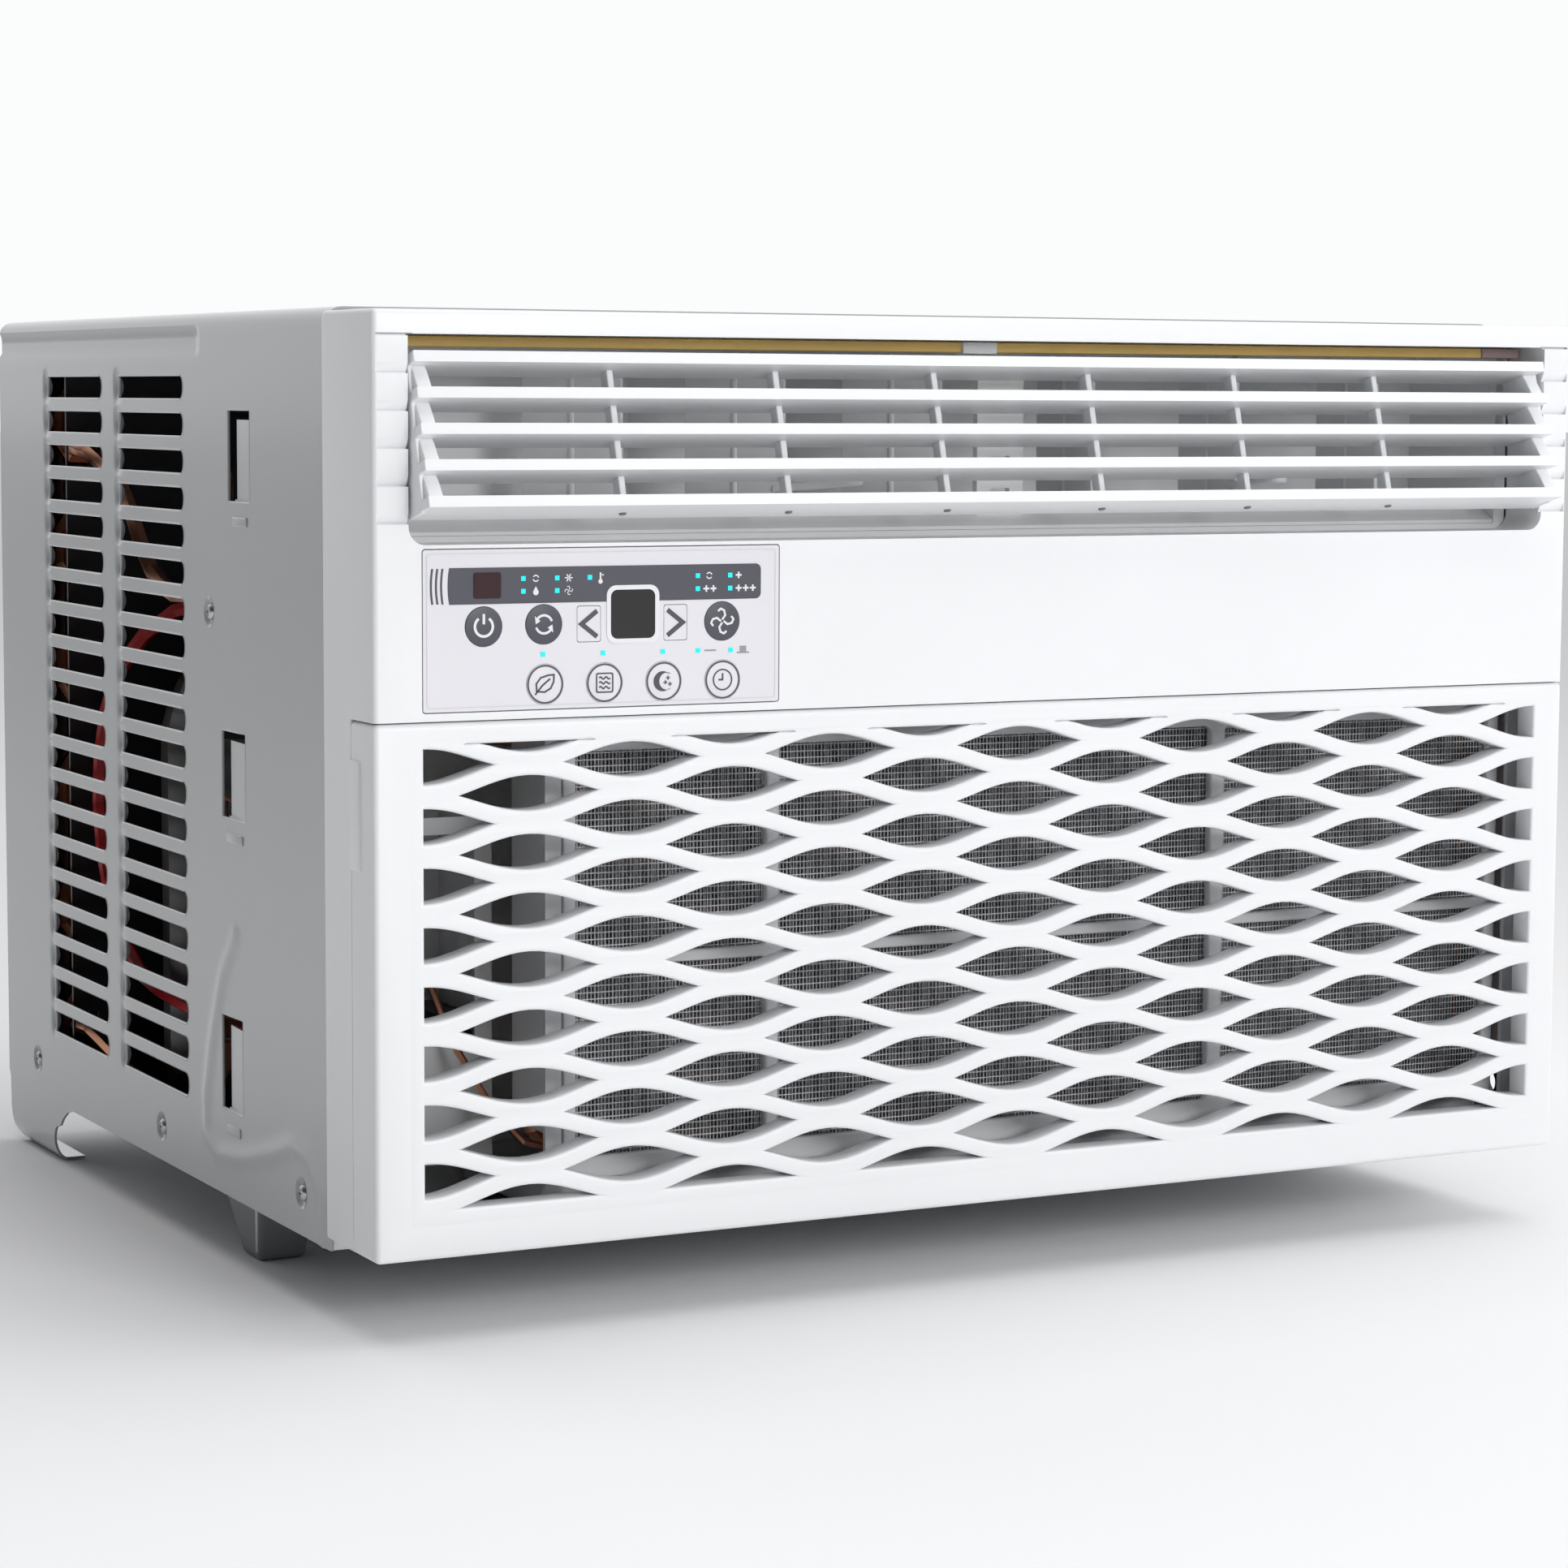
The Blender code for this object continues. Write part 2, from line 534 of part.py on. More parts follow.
def make_vanes():
    for number, (x, rest) in enumerate(zip(VANE_X, VANE_REST), 1):
        name = f"vane_{number}"
        middle = (VANE_LOW + VANE_HIGH) / 2
        vane = box(name, both(0.0008), (-VANE_CHORD / 2, VANE_CHORD / 2), high(VANE_LOW, VANE_HIGH), WHITE)
        pieces = [rod("pin", (0, 0, *high((0.2370 + 0.3065) / 2)), 0.0016, 0.0695, "Z", sides=8),
                  rod("link_pin", (0, LINK_ARM, *high(VANE_HIGH + 0.002)), 0.0016, 0.0060, "Z", sides=8)]
        if number in (2, 5):
            pieces.append(box("lever", both(0.0015), (-VANE_CHORD / 2 - VANE_LEVER, -VANE_CHORD / 2 + 0.002),
                              high(0.2527, 0.2559)))
            pieces.append(rod("paddle", (0, -VANE_CHORD / 2 - VANE_LEVER + 0.0065, *high(0.2543)),
                              0.0050, 0.0032, "Z", sides=12))
        join(vane, *pieces)
        vane = solid_copy(vane, name, WHITE)
        vane.data.transform(Matrix.Translation((0, 0, -high(middle)[0])))
        vane.location = (x, *deep(VANE_Y), *high(middle))
        vane.rotation_euler = (0, 0, rest)
    for name, members in (("vane_link_left", (0, 1, 2)), ("vane_link_right", (3, 4, 5))):
        turn = VANE_REST[members[0]]
        pins = [(VANE_X[i] - LINK_ARM * math.sin(turn), deep(VANE_Y)[0] + LINK_ARM * math.cos(turn))
                for i in members]
        x0, x1, y = pins[0][0] - 0.005, pins[-1][0] + 0.005, pins[0][1]
        outline = rectangle((x0, x1), (y - 0.0042, y + 0.0042))
        holes = [circle(px, py, 0.0020, 8) for px, py in pins]
        bar = plate(name, [outline, *holes], high(VANE_HIGH + 0.0022)[0], 0.0022, "Z", WHITE)
        middle = pins[1]
        set_origin(bar, (middle[0], middle[1], *high(VANE_HIGH + 0.0022)))


def lens_loops():
    """Outlines of the grille's holes, each between two cosine waves and clipped at the frame."""
    wave = (GRILLE_RIGHT - GRILLE_LEFT) * 2 / LENS_COLUMNS
    tip = 0.3325 * wave
    shares = (0.0, 0.27, 0.73, 1.0)
    loops = []
    for column in range(LENS_COLUMNS + 1):
        cx = GRILLE_LEFT + column * wave / 2
        left, right = max(cx - tip, GRILLE_LEFT), min(cx + tip, GRILLE_RIGHT)
        odd = column % 2
        for row in range(8 + odd):
            cz = GRILLE_LOW + (row + 0.5 - 0.5 * odd) * LENS_PITCH
            lower, upper = [], []
            for share in shares:
                x = left + (right - left) * share
                swell = 0.2006 * LENS_PITCH * (math.cos(2 * math.pi * (x - cx) / wave) + 0.4955)
                swell = max(swell, 0.0)
                lower.append((x, min(max(cz - swell, GRILLE_LOW), GRILLE_HIGH)))
                upper.append((x, min(cz + swell, GRILLE_HIGH)))
            loop = lower + upper[::-1]
            loop = [p for p, q in zip(loop, loop[1:] + loop[:1]) if math.dist(p, q) > 2e-4]
            if max(z for _, z in loop) - min(z for _, z in loop) > 0.0015:
                loops.append(loop)
    return loops


def make_intake_panel():
    half = WIDTH / 2
    pivot = (PANEL_DEPTH - 0.0052, 0.0052)
    panel = box("intake_grille", both(half), deep(0.0, PANEL_DEPTH), high(0.0, PANEL_TOP), WHITE)
    for vertex in panel.data.vertices:
        if vertex.co.y < deep(0.001)[0]:
            vertex.co.x *= (half - 0.0028) / half
    inner_heights = high(0.0024, PANEL_TOP - 0.0024)
    hollow = box("panel_hollow", both(half - 0.0024), deep(GRILLE_RIB, 0.05), inner_heights)
    slabs = []
    for loop in lens_loops():
        slabs.append(plate("lens", [shifted(loop)], deep(0.006)[0], 0.03, "Y"))
    heel = [deep(PANEL_DEPTH + 0.01)[0], high(-0.01)[0]]
    arc = [
        (deep(pivot[0] + 0.0052 * math.cos(math.radians(a)))[0],
         high(pivot[1] + 0.0052 * math.sin(math.radians(a)))[0])
        for a in (0, -22.5, -45, -67.5, -90)
    ]
    outside = [(arc[0][0] + 0.01, arc[0][1]), *arc, (arc[-1][0], heel[1]), (heel[0], heel[1])]
    heel_cut = plate("heel_cut", [outside], 0.0, WIDTH + 0.02, "X")
    cut(panel, hollow, joined_helper("lenses", slabs), heel_cut)
    tabs = []
    for side in (-1, 1):
        x = sorted((side * (half - 0.001), side * (half + 0.0008)))
        tabs.append(box("finger_tab", x, deep(0.0120, PANEL_DEPTH), high(0.1295, 0.1660)))
    join(panel, *tabs)
    panel = solid_copy(panel, "intake_grille", WHITE)
    set_origin(panel, (0, *deep(pivot[0]), *high(pivot[1])))


def make_filter():
    left, right, low, top = -0.1640, 0.2310, 0.0170, 0.1710
    frame_y = deep(0.0252)[0]
    outline = rectangle((left, right), (low, top))
    uprights = [left + 0.005, -0.0860, -0.0810, 0.0990, 0.1050, right - 0.005]
    rails = [low + 0.008, 0.0905, 0.0945, top - 0.006]
    windows = [
        rectangle((uprights[i], uprights[i + 1]), (rails[j], rails[j + 1])) for i in (0, 2, 4) for j in (0, 2)
    ]
    loops = [shifted(loop) for loop in [outline, *windows]]
    plate("filter_frame", loops, frame_y + 0.0006, 0.0036, "Y", WHITE)
    sheet = box("filter_screen", (left + 0.001, right - 0.001), deep(0.0281, 0.0287),
                high(low + 0.001, top - 0.001), MESH_GREY)
    set_origin(sheet, (0, *deep(0.0284), *high(low)))


def make_evaporator():
    tray = box("drain_tray", (-0.1640, 0.2320), deep(0.0360, 0.1120), high(0.0030, 0.0150), DUCT)
    cut(tray, box("tray_hollow", (-0.1620, 0.2300), deep(0.0375, 0.1105), high(0.0046, 0.03)))
    box("evaporator_coil", (-0.1540, 0.2220), deep(0.0380, 0.0640), high(0.0160, 0.1740), FINS)
    coil_ends("evaporator_bends", -0.1546, -1, (0.0380, 0.0640), 0.0160, 0.1740, 4)
    rod("room_sensor", (-0.1450, *deep(0.0340), *high(0.1500)), 0.0024, 0.018, "X", COPPER, 10)


def coil_ends(name, x, side, depths, low, top, bends):
    """A tube plate at a coil's end with the return bends that stand out of it."""
    sheet = box(name, sorted((x, x + side * 0.0012)), deep(*depths), high(low, top), COPPER)
    middle = sum(deep(*depths)) / 2
    pitch = (top - low) / bends
    loops = []
    for i in range(bends):
        centre = high(low)[0] + (i + 0.5) * pitch
        reach = pitch * 0.26
        path = [(x + side * 0.0006, middle, centre - reach), (x + side * 0.0050, middle, centre - reach),
                (x + side * 0.0092, middle, centre - reach * 0.5),
                (x + side * 0.0092, middle, centre + reach * 0.5),
                (x + side * 0.0050, middle, centre + reach), (x + side * 0.0006, middle, centre + reach)]
        bend = tube("bend", path, 0.0032, COPPER, 1.0)
        loops.append(solid_copy(bend, "bend", None))
    join(sheet, joined_helper(name + "_loops", loops))


def make_blower():
    half = WIDTH / 2 - CABINET_INSET - SHEET - GAP
    wall = sheet_outline(half - 0.0002, -0.0028, CABINET_TOP - SHEET - GAP)
    hole = circle(FAN_X, FAN_Z, 0.030, 20)
    pipe_way = rectangle((-0.2200, -0.1900), (0.1750, 0.2050))
    wire_way = rectangle((-0.2250, -0.2050), (0.0300, 0.0500))
    plate("bulkhead", [shifted(loop) for loop in (wall, hole, pipe_way, wire_way)],
          deep(0.1155)[0], 0.0020, "Y", STEEL)
    spiral = [(-0.0935, 0.2355), (-0.0800, 0.1900)]
    for a in range(180, 361, 15):
        radius = 0.078 + 0.055 * ((a - 180) / 180) ** 2
        turn = math.radians(a)
        spiral.append((FAN_X + radius * math.cos(turn), FAN_Z + radius * math.sin(turn)))
    spiral.append((FAN_X + 0.133, 0.2355))
    ribbon("blower_scroll", shifted(spiral), deep(0.0665, 0.1135), 0.0018, DUCT)
    blower_wheel()
    motor_and_fan()


def blower_wheel():
    centre = (FAN_X, *deep(0.0), *high(FAN_Z))
    y0, y1 = deep(0.0700, 0.1060)
    disc = rod("blower_wheel", (FAN_X, y1 - 0.001, centre[2]), BLOWER_RADIUS, 0.002, "Y", BLACK, 28)
    hub = rod("hub", (FAN_X, y1 - 0.010, centre[2]), 0.012, 0.020, "Y", sides=16)
    ring = turned("ring", [(BLOWER_RADIUS, 0.002), (BLOWER_RADIUS, -0.002), (0.058, -0.002), (0.058, 0.002)],
                  (FAN_X, y0 + 0.002, centre[2]), "Y", None, 28, closed=True)
    ring = solid_copy(ring, "ring", None)
    blades = []
    count = 20
    for i in range(count):
        blade = box("blade", (0.0585, BLOWER_RADIUS - 0.0005), (y0 + 0.001, y1 - 0.0005), both(0.0006))
        out = Matrix.Translation((0.064, 0, 0))
        lean = out @ Matrix.Rotation(0.6, 4, "Y") @ out.inverted()
        blade.data.transform(Matrix.Translation((FAN_X, 0, centre[2]))
                             @ Matrix.Rotation(2 * math.pi * i / count, 4, "Y") @ lean)
        blades.append(blade)
    join(disc, joined_helper("blades", blades), ring, hub)
    cut(disc, rod("bore", (FAN_X, deep(0.09)[0], centre[2]), SHAFT_RADIUS + 0.0004, 0.06, "Y", sides=16))
    wheel = solid_copy(disc, "blower_wheel", BLACK)
    set_origin(wheel, (FAN_X, y1, centre[2]))


def motor_and_fan():
    z = high(FAN_Z)[0]
    middle = sum(deep(0.0800, 0.3260)) / 2
    shaft = rod("motor_shaft", (FAN_X, middle, z), SHAFT_RADIUS, 0.2460, "Y", STEEL, 16)
    set_origin(shaft, (FAN_X, deep(0.165)[0], z))
    profile = [(0.0080, 0.034), (0.0300, 0.034), (0.0430, 0.028), (0.0430, -0.028), (0.0300, -0.034),
               (0.0080, -0.034), (0.0046, -0.034), (0.0046, 0.034)]
    turned("fan_motor", profile, (FAN_X, deep(0.1670)[0], z), "Y", STEEL, 24, closed=True)
    leg = [(-0.040, -0.0028), (0.100, -0.0028), (0.066, FAN_Z + 0.030), (-0.006, FAN_Z + 0.030)]
    stand = plate("motor_bracket", [shifted(leg), shifted(circle(FAN_X, FAN_Z, 0.020, 16))],
                  deep(0.1315)[0], 0.0020, "Y", STEEL)
    join(stand, box("stand_foot", (-0.040, 0.100), deep(0.1308, 0.1700), high(-0.0028, -0.0010)))
    hub = rod("condenser_fan", (FAN_X, deep(0.3120)[0], z), 0.024, 0.026, "Y", BLACK, 20)
    blades = []
    for i in range(5):
        outline = [(0.020, -0.016), (0.060, -0.034), (0.088, -0.036), (FAN_RADIUS - 0.0035, -0.024),
                   (FAN_RADIUS - 0.0035, 0.022), (0.086, 0.032), (0.055, 0.026), (0.020, 0.012)]
        blade = plate("blade", [outline], 0.0, 0.0022, "Y")
        pitch = Matrix.Rotation(math.radians(24), 4, "X")
        blade.data.transform(Matrix.Translation((FAN_X, deep(0.3120)[0], z))
                             @ Matrix.Rotation(2 * math.pi * i / 5, 4, "Y") @ pitch)
        blades.append(blade)
    ring = turned("slinger", [(FAN_RADIUS, 0.006), (FAN_RADIUS, -0.006), (FAN_RADIUS - 0.004, -0.006),
                              (FAN_RADIUS - 0.004, 0.006)],
                  (FAN_X, deep(0.3120)[0], z), "Y", None, 30, closed=True)
    ring = solid_copy(ring, "slinger", None)
    join(hub, *blades, ring)
    cut(hub, rod("bore", (FAN_X, deep(0.312)[0], z), SHAFT_RADIUS + 0.0004, 0.06, "Y", sides=16))
    fan = solid_copy(hub, "condenser_fan", BLACK)
    set_origin(fan, (FAN_X, deep(0.312)[0], z))


def make_condenser():
    half = WIDTH / 2 - CABINET_INSET - SHEET - GAP - 0.0015
    shroud = plate(
        "fan_shroud",
        [shifted(loop) for loop in (
            rectangle(both(half), (0.0000, 0.3020)), circle(FAN_X, FAN_Z, 0.108, 36),
            rectangle((-0.2368, -0.2270), (0.0210, 0.0350)), rectangle((-0.2368, -0.2270), (0.2570, 0.2710)),
        )],
        deep(0.3460)[0], 0.0016, "Y", STEEL,
    )
    ring = turned("shroud_ring", [(0.1095, 0.022), (0.1095, -0.022), (0.1080, -0.022), (0.1080, 0.022)],
                  (FAN_X, deep(0.3250)[0], high(FAN_Z)[0]), "Y", None, 36, closed=True)
    join(shroud, solid_copy(ring, "shroud_ring", None))
    box("condenser_coil", both(0.2210), deep(0.3560, 0.3980), high(0.0000, 0.2980), FINS)
    coil_ends("condenser_bends", -0.2216, -1, (0.3560, 0.3980), 0.0000, 0.2980, 6)


def make_refrigeration():
    can_x, can_y = -0.168, 0.275
    body = [(0.0, 0.190), (0.014, 0.189), (0.032, 0.183), (0.045, 0.170), (0.050, 0.158), (0.052, 0.150),
            (0.052, 0.020), (0.050, 0.008), (0.036, -0.0010), (0.0, -0.0010)]
    can = turned("compressor", body, (0, 0, 0), "Z", COMPRESSOR_BLACK, 20)
    can.location = (can_x, *deep(can_y), BASE + 0.004)
    can = solid_copy(can, "compressor", COMPRESSOR_BLACK)
    feet = plate("compressor_base", [circle(can_x, deep(can_y)[0], 0.064, 3, math.radians(90))],
                 high(0.0046)[0], 0.0030, "Z")
    join(can, feet)
    turned("terminal_cover", [(0.0, 0.016), (0.012, 0.0155), (0.015, 0.012), (0.015, 0.0), (0.0, 0.0)],
           (can_x, *deep(can_y), BASE + 0.004 + 0.1906), "Z", BLACK, 16)
    turned("accumulator",
           [(0.0, 0.118), (0.006, 0.117), (0.016, 0.106), (0.016, 0.012), (0.006, 0.001), (0.0, 0.0)],
           (-0.1200, *deep(0.2200), BASE + 0.030), "Z", COMPRESSOR_BLACK, 16)
    top = BASE + 0.004
    tube("suction_pipe", [
        (-0.1200, *deep(0.2200), BASE + 0.1484), (-0.1200, *deep(0.2200), BASE + 0.185),
        (-0.1260, *deep(0.2150), BASE + 0.232), (-0.1600, *deep(0.2050), BASE + 0.262),
        (-0.1950, *deep(0.1850), BASE + 0.250), (-0.2060, *deep(0.1600), BASE + 0.212),
        (-0.2060, *deep(0.1300), BASE + 0.191), (-0.2060, *deep(0.1160), BASE + 0.190),
        (-0.2050, *deep(0.0850), BASE + 0.188), (-0.1960, *deep(0.0600), BASE + 0.178),
        (-0.1800, *deep(0.0590), BASE + 0.170), (-0.1563, *deep(0.0595), BASE + 0.1680),
    ], 0.0042, COPPER, rounding=2)
    tube("discharge_pipe", [
        (-0.2000, *deep(0.2700), top + 0.1850), (-0.2000, *deep(0.2700), top + 0.205),
        (-0.2040, *deep(0.2500), top + 0.238), (-0.2140, *deep(0.2250), top + 0.252),
        (-0.2210, *deep(0.2150), top + 0.226), (-0.2270, *deep(0.2300), top + 0.206),
        (-0.2290, *deep(0.2650), top + 0.214), (-0.2290, *deep(0.3000), top + 0.244),
        (-0.2310, *deep(0.3340), top + 0.258), (-0.2325, *deep(0.3480), top + 0.260),
        (-0.2325, *deep(0.3590), top + 0.260), (-0.2285, *deep(0.3680), top + 0.260),
    ], 0.0032, COPPER)
    turned("filter_drier",
           [(0.0, 0.040), (0.004, 0.039), (0.009, 0.031), (0.009, -0.031), (0.004, -0.039), (0.0, -0.040)],
           (-0.2235, *deep(0.2000), BASE + 0.085), "Z", COPPER, 14)
    tube("liquid_line", [
        (-0.2235, *deep(0.2000), BASE + 0.0440), (-0.2235, *deep(0.2010), BASE + 0.034),
        (-0.2250, *deep(0.2150), BASE + 0.020), (-0.2285, *deep(0.2500), BASE + 0.014),
        (-0.2290, *deep(0.3000), BASE + 0.018), (-0.2320, *deep(0.3420), BASE + 0.028),
        (-0.2325, *deep(0.3590), BASE + 0.028), (-0.2285, *deep(0.3680), BASE + 0.028),
    ], 0.0026, COPPER)
    coil = []
    steps = 10
    for i in range(3 * steps + 1):
        angle = 2 * math.pi * i / steps
        coil.append((-0.2090 + 0.017 * math.cos(angle), deep(0.1550)[0] + 0.017 * math.sin(angle),
                     BASE + 0.134 + 0.0048 * i / steps))
    capillary = [(-0.2235, *deep(0.2000), BASE + 0.1255), (-0.2235, *deep(0.1980), BASE + 0.136),
                 (-0.2160, *deep(0.1860), BASE + 0.132), (-0.1960, *deep(0.1760), BASE + 0.131), *coil[1:],
                 (-0.2000, *deep(0.1370), BASE + 0.166), (-0.2140, *deep(0.1300), BASE + 0.180),
                 (-0.2150, *deep(0.1155), BASE + 0.182), (-0.2130, *deep(0.0900), BASE + 0.150),
                 (-0.1900, *deep(0.0560), BASE + 0.060), (-0.1700, *deep(0.0440), BASE + 0.028),
                 (-0.1563, *deep(0.0430), BASE + 0.024)]
    tube("capillary_tube", capillary, 0.0013, COPPER, 0.016)


def make_electrics():
    case = box("control_box", (-0.2365, -0.1725), deep(0.0660, 0.1120), high(0.0180, 0.1400), WHITE)
    cut(case, box("case_hollow", (-0.2350, -0.1740), deep(0.0675, 0.1105), high(0.0195, 0.15)))
    window = box("case_window", (-0.2300, -0.1790), deep(0.06, 0.07), high(0.0600, 0.1340))
    cut(case, window)
    rod("run_capacitor", (-0.2120, *deep(0.0890), *high(0.0550)), 0.0170, 0.0700, "Z", BLACK, 20)
    box("terminal_block", (-0.1900, -0.1780), deep(0.0750, 0.1050), high(0.0199, 0.0700), BLACK)
    tube("compressor_lead", [
        (-0.1850, *deep(0.2860), BASE + 0.2036), (-0.2050, *deep(0.3080), BASE + 0.200),
        (-0.2220, *deep(0.3280), BASE + 0.176), (-0.2280, *deep(0.3350), BASE + 0.140),
        (-0.2280, *deep(0.3340), BASE + 0.105), (-0.2275, *deep(0.3180), BASE + 0.078),
        (-0.2280, *deep(0.2850), BASE + 0.058), (-0.2180, *deep(0.2450), BASE + 0.048),
        (-0.2060, *deep(0.2150), BASE + 0.042), (-0.2050, *deep(0.1850), BASE + 0.036),
        (-0.2150, *deep(0.1500), BASE + 0.038), (-0.2150, *deep(0.1300), BASE + 0.040),
        (-0.2150, *deep(0.1170), BASE + 0.040), (-0.2150, *deep(0.1128), BASE + 0.040),
    ], 0.0030, RED, 0.016)


make_base()
make_cabinet()
make_rear_guard()
make_bezel()
make_controls()
make_outlet()
make_louver()
make_vanes()
make_intake_panel()
make_filter()
make_evaporator()
make_blower()
make_condenser()
make_refrigeration()
make_electrics()
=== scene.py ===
"""The looks of a window air conditioner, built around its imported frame.

Units are metres. Depths along Y are counted from the bezel's front face, and heights from the
bezel's lower edge, both read from the frame.
"""

from math import cos, dist, exp, pi, radians, sin

import bmesh
import bpy
from mathutils import Matrix, Vector


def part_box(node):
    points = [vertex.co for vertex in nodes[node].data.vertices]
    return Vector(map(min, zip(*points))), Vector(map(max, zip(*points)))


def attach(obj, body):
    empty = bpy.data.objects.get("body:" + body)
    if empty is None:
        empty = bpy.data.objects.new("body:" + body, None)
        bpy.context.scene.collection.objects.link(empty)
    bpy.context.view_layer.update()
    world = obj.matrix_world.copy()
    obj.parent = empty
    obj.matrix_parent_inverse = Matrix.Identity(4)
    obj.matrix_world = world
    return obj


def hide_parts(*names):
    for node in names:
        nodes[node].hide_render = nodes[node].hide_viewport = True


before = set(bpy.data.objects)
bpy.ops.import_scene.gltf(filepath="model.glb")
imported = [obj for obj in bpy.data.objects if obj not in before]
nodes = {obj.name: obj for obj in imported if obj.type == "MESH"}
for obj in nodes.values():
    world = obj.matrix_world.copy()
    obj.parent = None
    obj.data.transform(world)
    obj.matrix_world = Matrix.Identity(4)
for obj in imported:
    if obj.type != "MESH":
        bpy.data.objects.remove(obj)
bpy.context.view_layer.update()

# Places read from the frame
BEZEL_LOW, BEZEL_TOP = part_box("front_bezel")
FRONT, BASE = BEZEL_LOW.y, BEZEL_LOW.z
HALF = BEZEL_TOP.x
BEZEL_DEPTH = BEZEL_TOP.y - FRONT
BEZEL_HEIGHT = BEZEL_TOP.z - BASE
CAB_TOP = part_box("cabinet")[1]
SIDE = CAB_TOP.x
ROOF = CAB_TOP.z - BASE
REAR = CAB_TOP.y - FRONT
panel_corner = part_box("intake_grille")[1]
PANEL_TOP = panel_corner.z - BASE
PANEL_DEPTH = panel_corner.y - FRONT
HINGE_Z = 0.0052  # the panel hinge's height, and its distance from the panel's rear
HINGE_Y = PANEL_DEPTH - HINGE_Z

# Openings and pitches that the frame's solids share
GRILLE_LEFT, GRILLE_RIGHT = -0.2245, 0.2290
GRILLE_LOW, GRILLE_HIGH = 0.0165, 0.1715
GRILLE_RIB = 0.0105
LENS_COLUMNS = 12
LENS_PITCH = 0.0197
OUTLET_HALF = 0.2300
OUTLET_LOW, OUTLET_HIGH = 0.2370, 0.3055
BLADES = 5
BLADE_PITCH = 0.0121
RIB_X = (-0.1547, -0.0925, -0.0305, 0.0325, 0.0943, 0.1564)
LOUVER_TILT = radians(15)
LOUVER_Y, LOUVER_Z = 0.0068, 0.2710
VANE_X = [-0.1470, -0.0840, -0.0208, 0.0523, 0.1152, 0.1785]
VANE_Y = 0.054
VANE_CHORD = 0.039
VANE_LOW, VANE_HIGH = 0.2405, 0.2955
VANE_REST = [radians(a) for a in (38, 38, 38, 0, 0, 0)]
LEVER_VANES = (2, 5)
LEVER_Z, LEVER_REACH, LEVER_SLOPE = 0.2538, 0.0300, 0.10
VANE_BODIES = [
    "left_vane_outer", "left_vane_lever", "left_vane_inner",
    "right_vane_inner", "right_vane_lever", "right_vane_outer",
]
ROUND_KEYS = {
    "power": (-0.2033, 0.2100, 0.0063), "mode": (-0.1817, 0.2103, 0.0063),
    "fan": (-0.1158, 0.2100, 0.0063), "eco": (-0.1813, 0.1904, 0.0064),
    "filter": (-0.1596, 0.1903, 0.0064), "sleep": (-0.1377, 0.1902, 0.0064),
    "timer": (-0.1156, 0.1901, 0.0064),
}
ARROWS = {"down": (-0.1653, 0.2101, -1), "up": (-0.1333, 0.2099, 1)}
OVERLAY_LEFT, OVERLAY_RIGHT = -0.2247, -0.0942
VENT_COLUMNS = ((0.1925, 0.2705), (0.2890, 0.3625))


def deep(depth):
    return FRONT + depth


def high(height):
    return BASE + height


# ---- materials

ROUGHNESS_DRIFT = 0.06


def noise(tree, scale, detail, vector):
    made = tree.nodes.new("ShaderNodeTexNoise")
    made.inputs["Scale"].default_value = scale
    made.inputs["Detail"].default_value = detail
    tree.links.new(vector, made.inputs["Vector"])
    return made.outputs["Fac"]


def two_colour_ramp(tree, places, colours):
    ramp = tree.nodes.new("ShaderNodeValToRGB")
    for element, place, colour in zip(ramp.color_ramp.elements, places, colours):
        element.position = place
        element.color = (*colour, 1)
    return ramp


def finish_of(name, colour, roughness, metallic=0.0, vary=0.03, grain=900.0, bump=0.02,
              cloud=9.0, coat=0.0, bump_distance=0.0002, specular=0.5):
    """A finish with a slow drift of colour and roughness and a fine grain in its relief."""
    made = bpy.data.materials.new(name)
    made.use_nodes = True
    tree = made.node_tree
    shader = tree.nodes["Principled BSDF"]
    link = tree.links.new
    place = tree.nodes.new("ShaderNodeTexCoord")
    drift = noise(tree, cloud, 4.0, place.outputs["Object"])
    darker = [c * (1 - vary) for c in colour]
    lighter = [min(1.0, c * (1 + vary)) for c in colour]
    tint = two_colour_ramp(tree, (0.3, 0.7), (darker, lighter))
    link(drift, tint.inputs["Fac"])
    link(tint.outputs["Color"], shader.inputs["Base Color"])
    spread = tree.nodes.new("ShaderNodeMapRange")
    spread.inputs["To Min"].default_value = roughness - ROUGHNESS_DRIFT
    spread.inputs["To Max"].default_value = roughness + ROUGHNESS_DRIFT
    link(drift, spread.inputs["Value"])
    link(spread.outputs["Result"], shader.inputs["Roughness"])
    relief = tree.nodes.new("ShaderNodeBump")
    relief.inputs["Strength"].default_value = bump
    relief.inputs["Distance"].default_value = bump_distance
    link(noise(tree, grain, 2.0, place.outputs["Object"]), relief.inputs["Height"])
    link(relief.outputs["Normal"], shader.inputs["Normal"])
    shader.inputs["Metallic"].default_value = metallic
    shader.inputs["Coat Weight"].default_value = coat
    shader.inputs["Coat Roughness"].default_value = 0.12
    shader.inputs["Specular IOR Level"].default_value = specular
    return made


def glow_of(name, colour, strength):
    made = finish_of(name, colour, 0.3, vary=0.02)
    shader = made.node_tree.nodes["Principled BSDF"]
    shader.inputs["Emission Color"].default_value = (*colour, 1)
    shader.inputs["Emission Strength"].default_value = strength
    return made


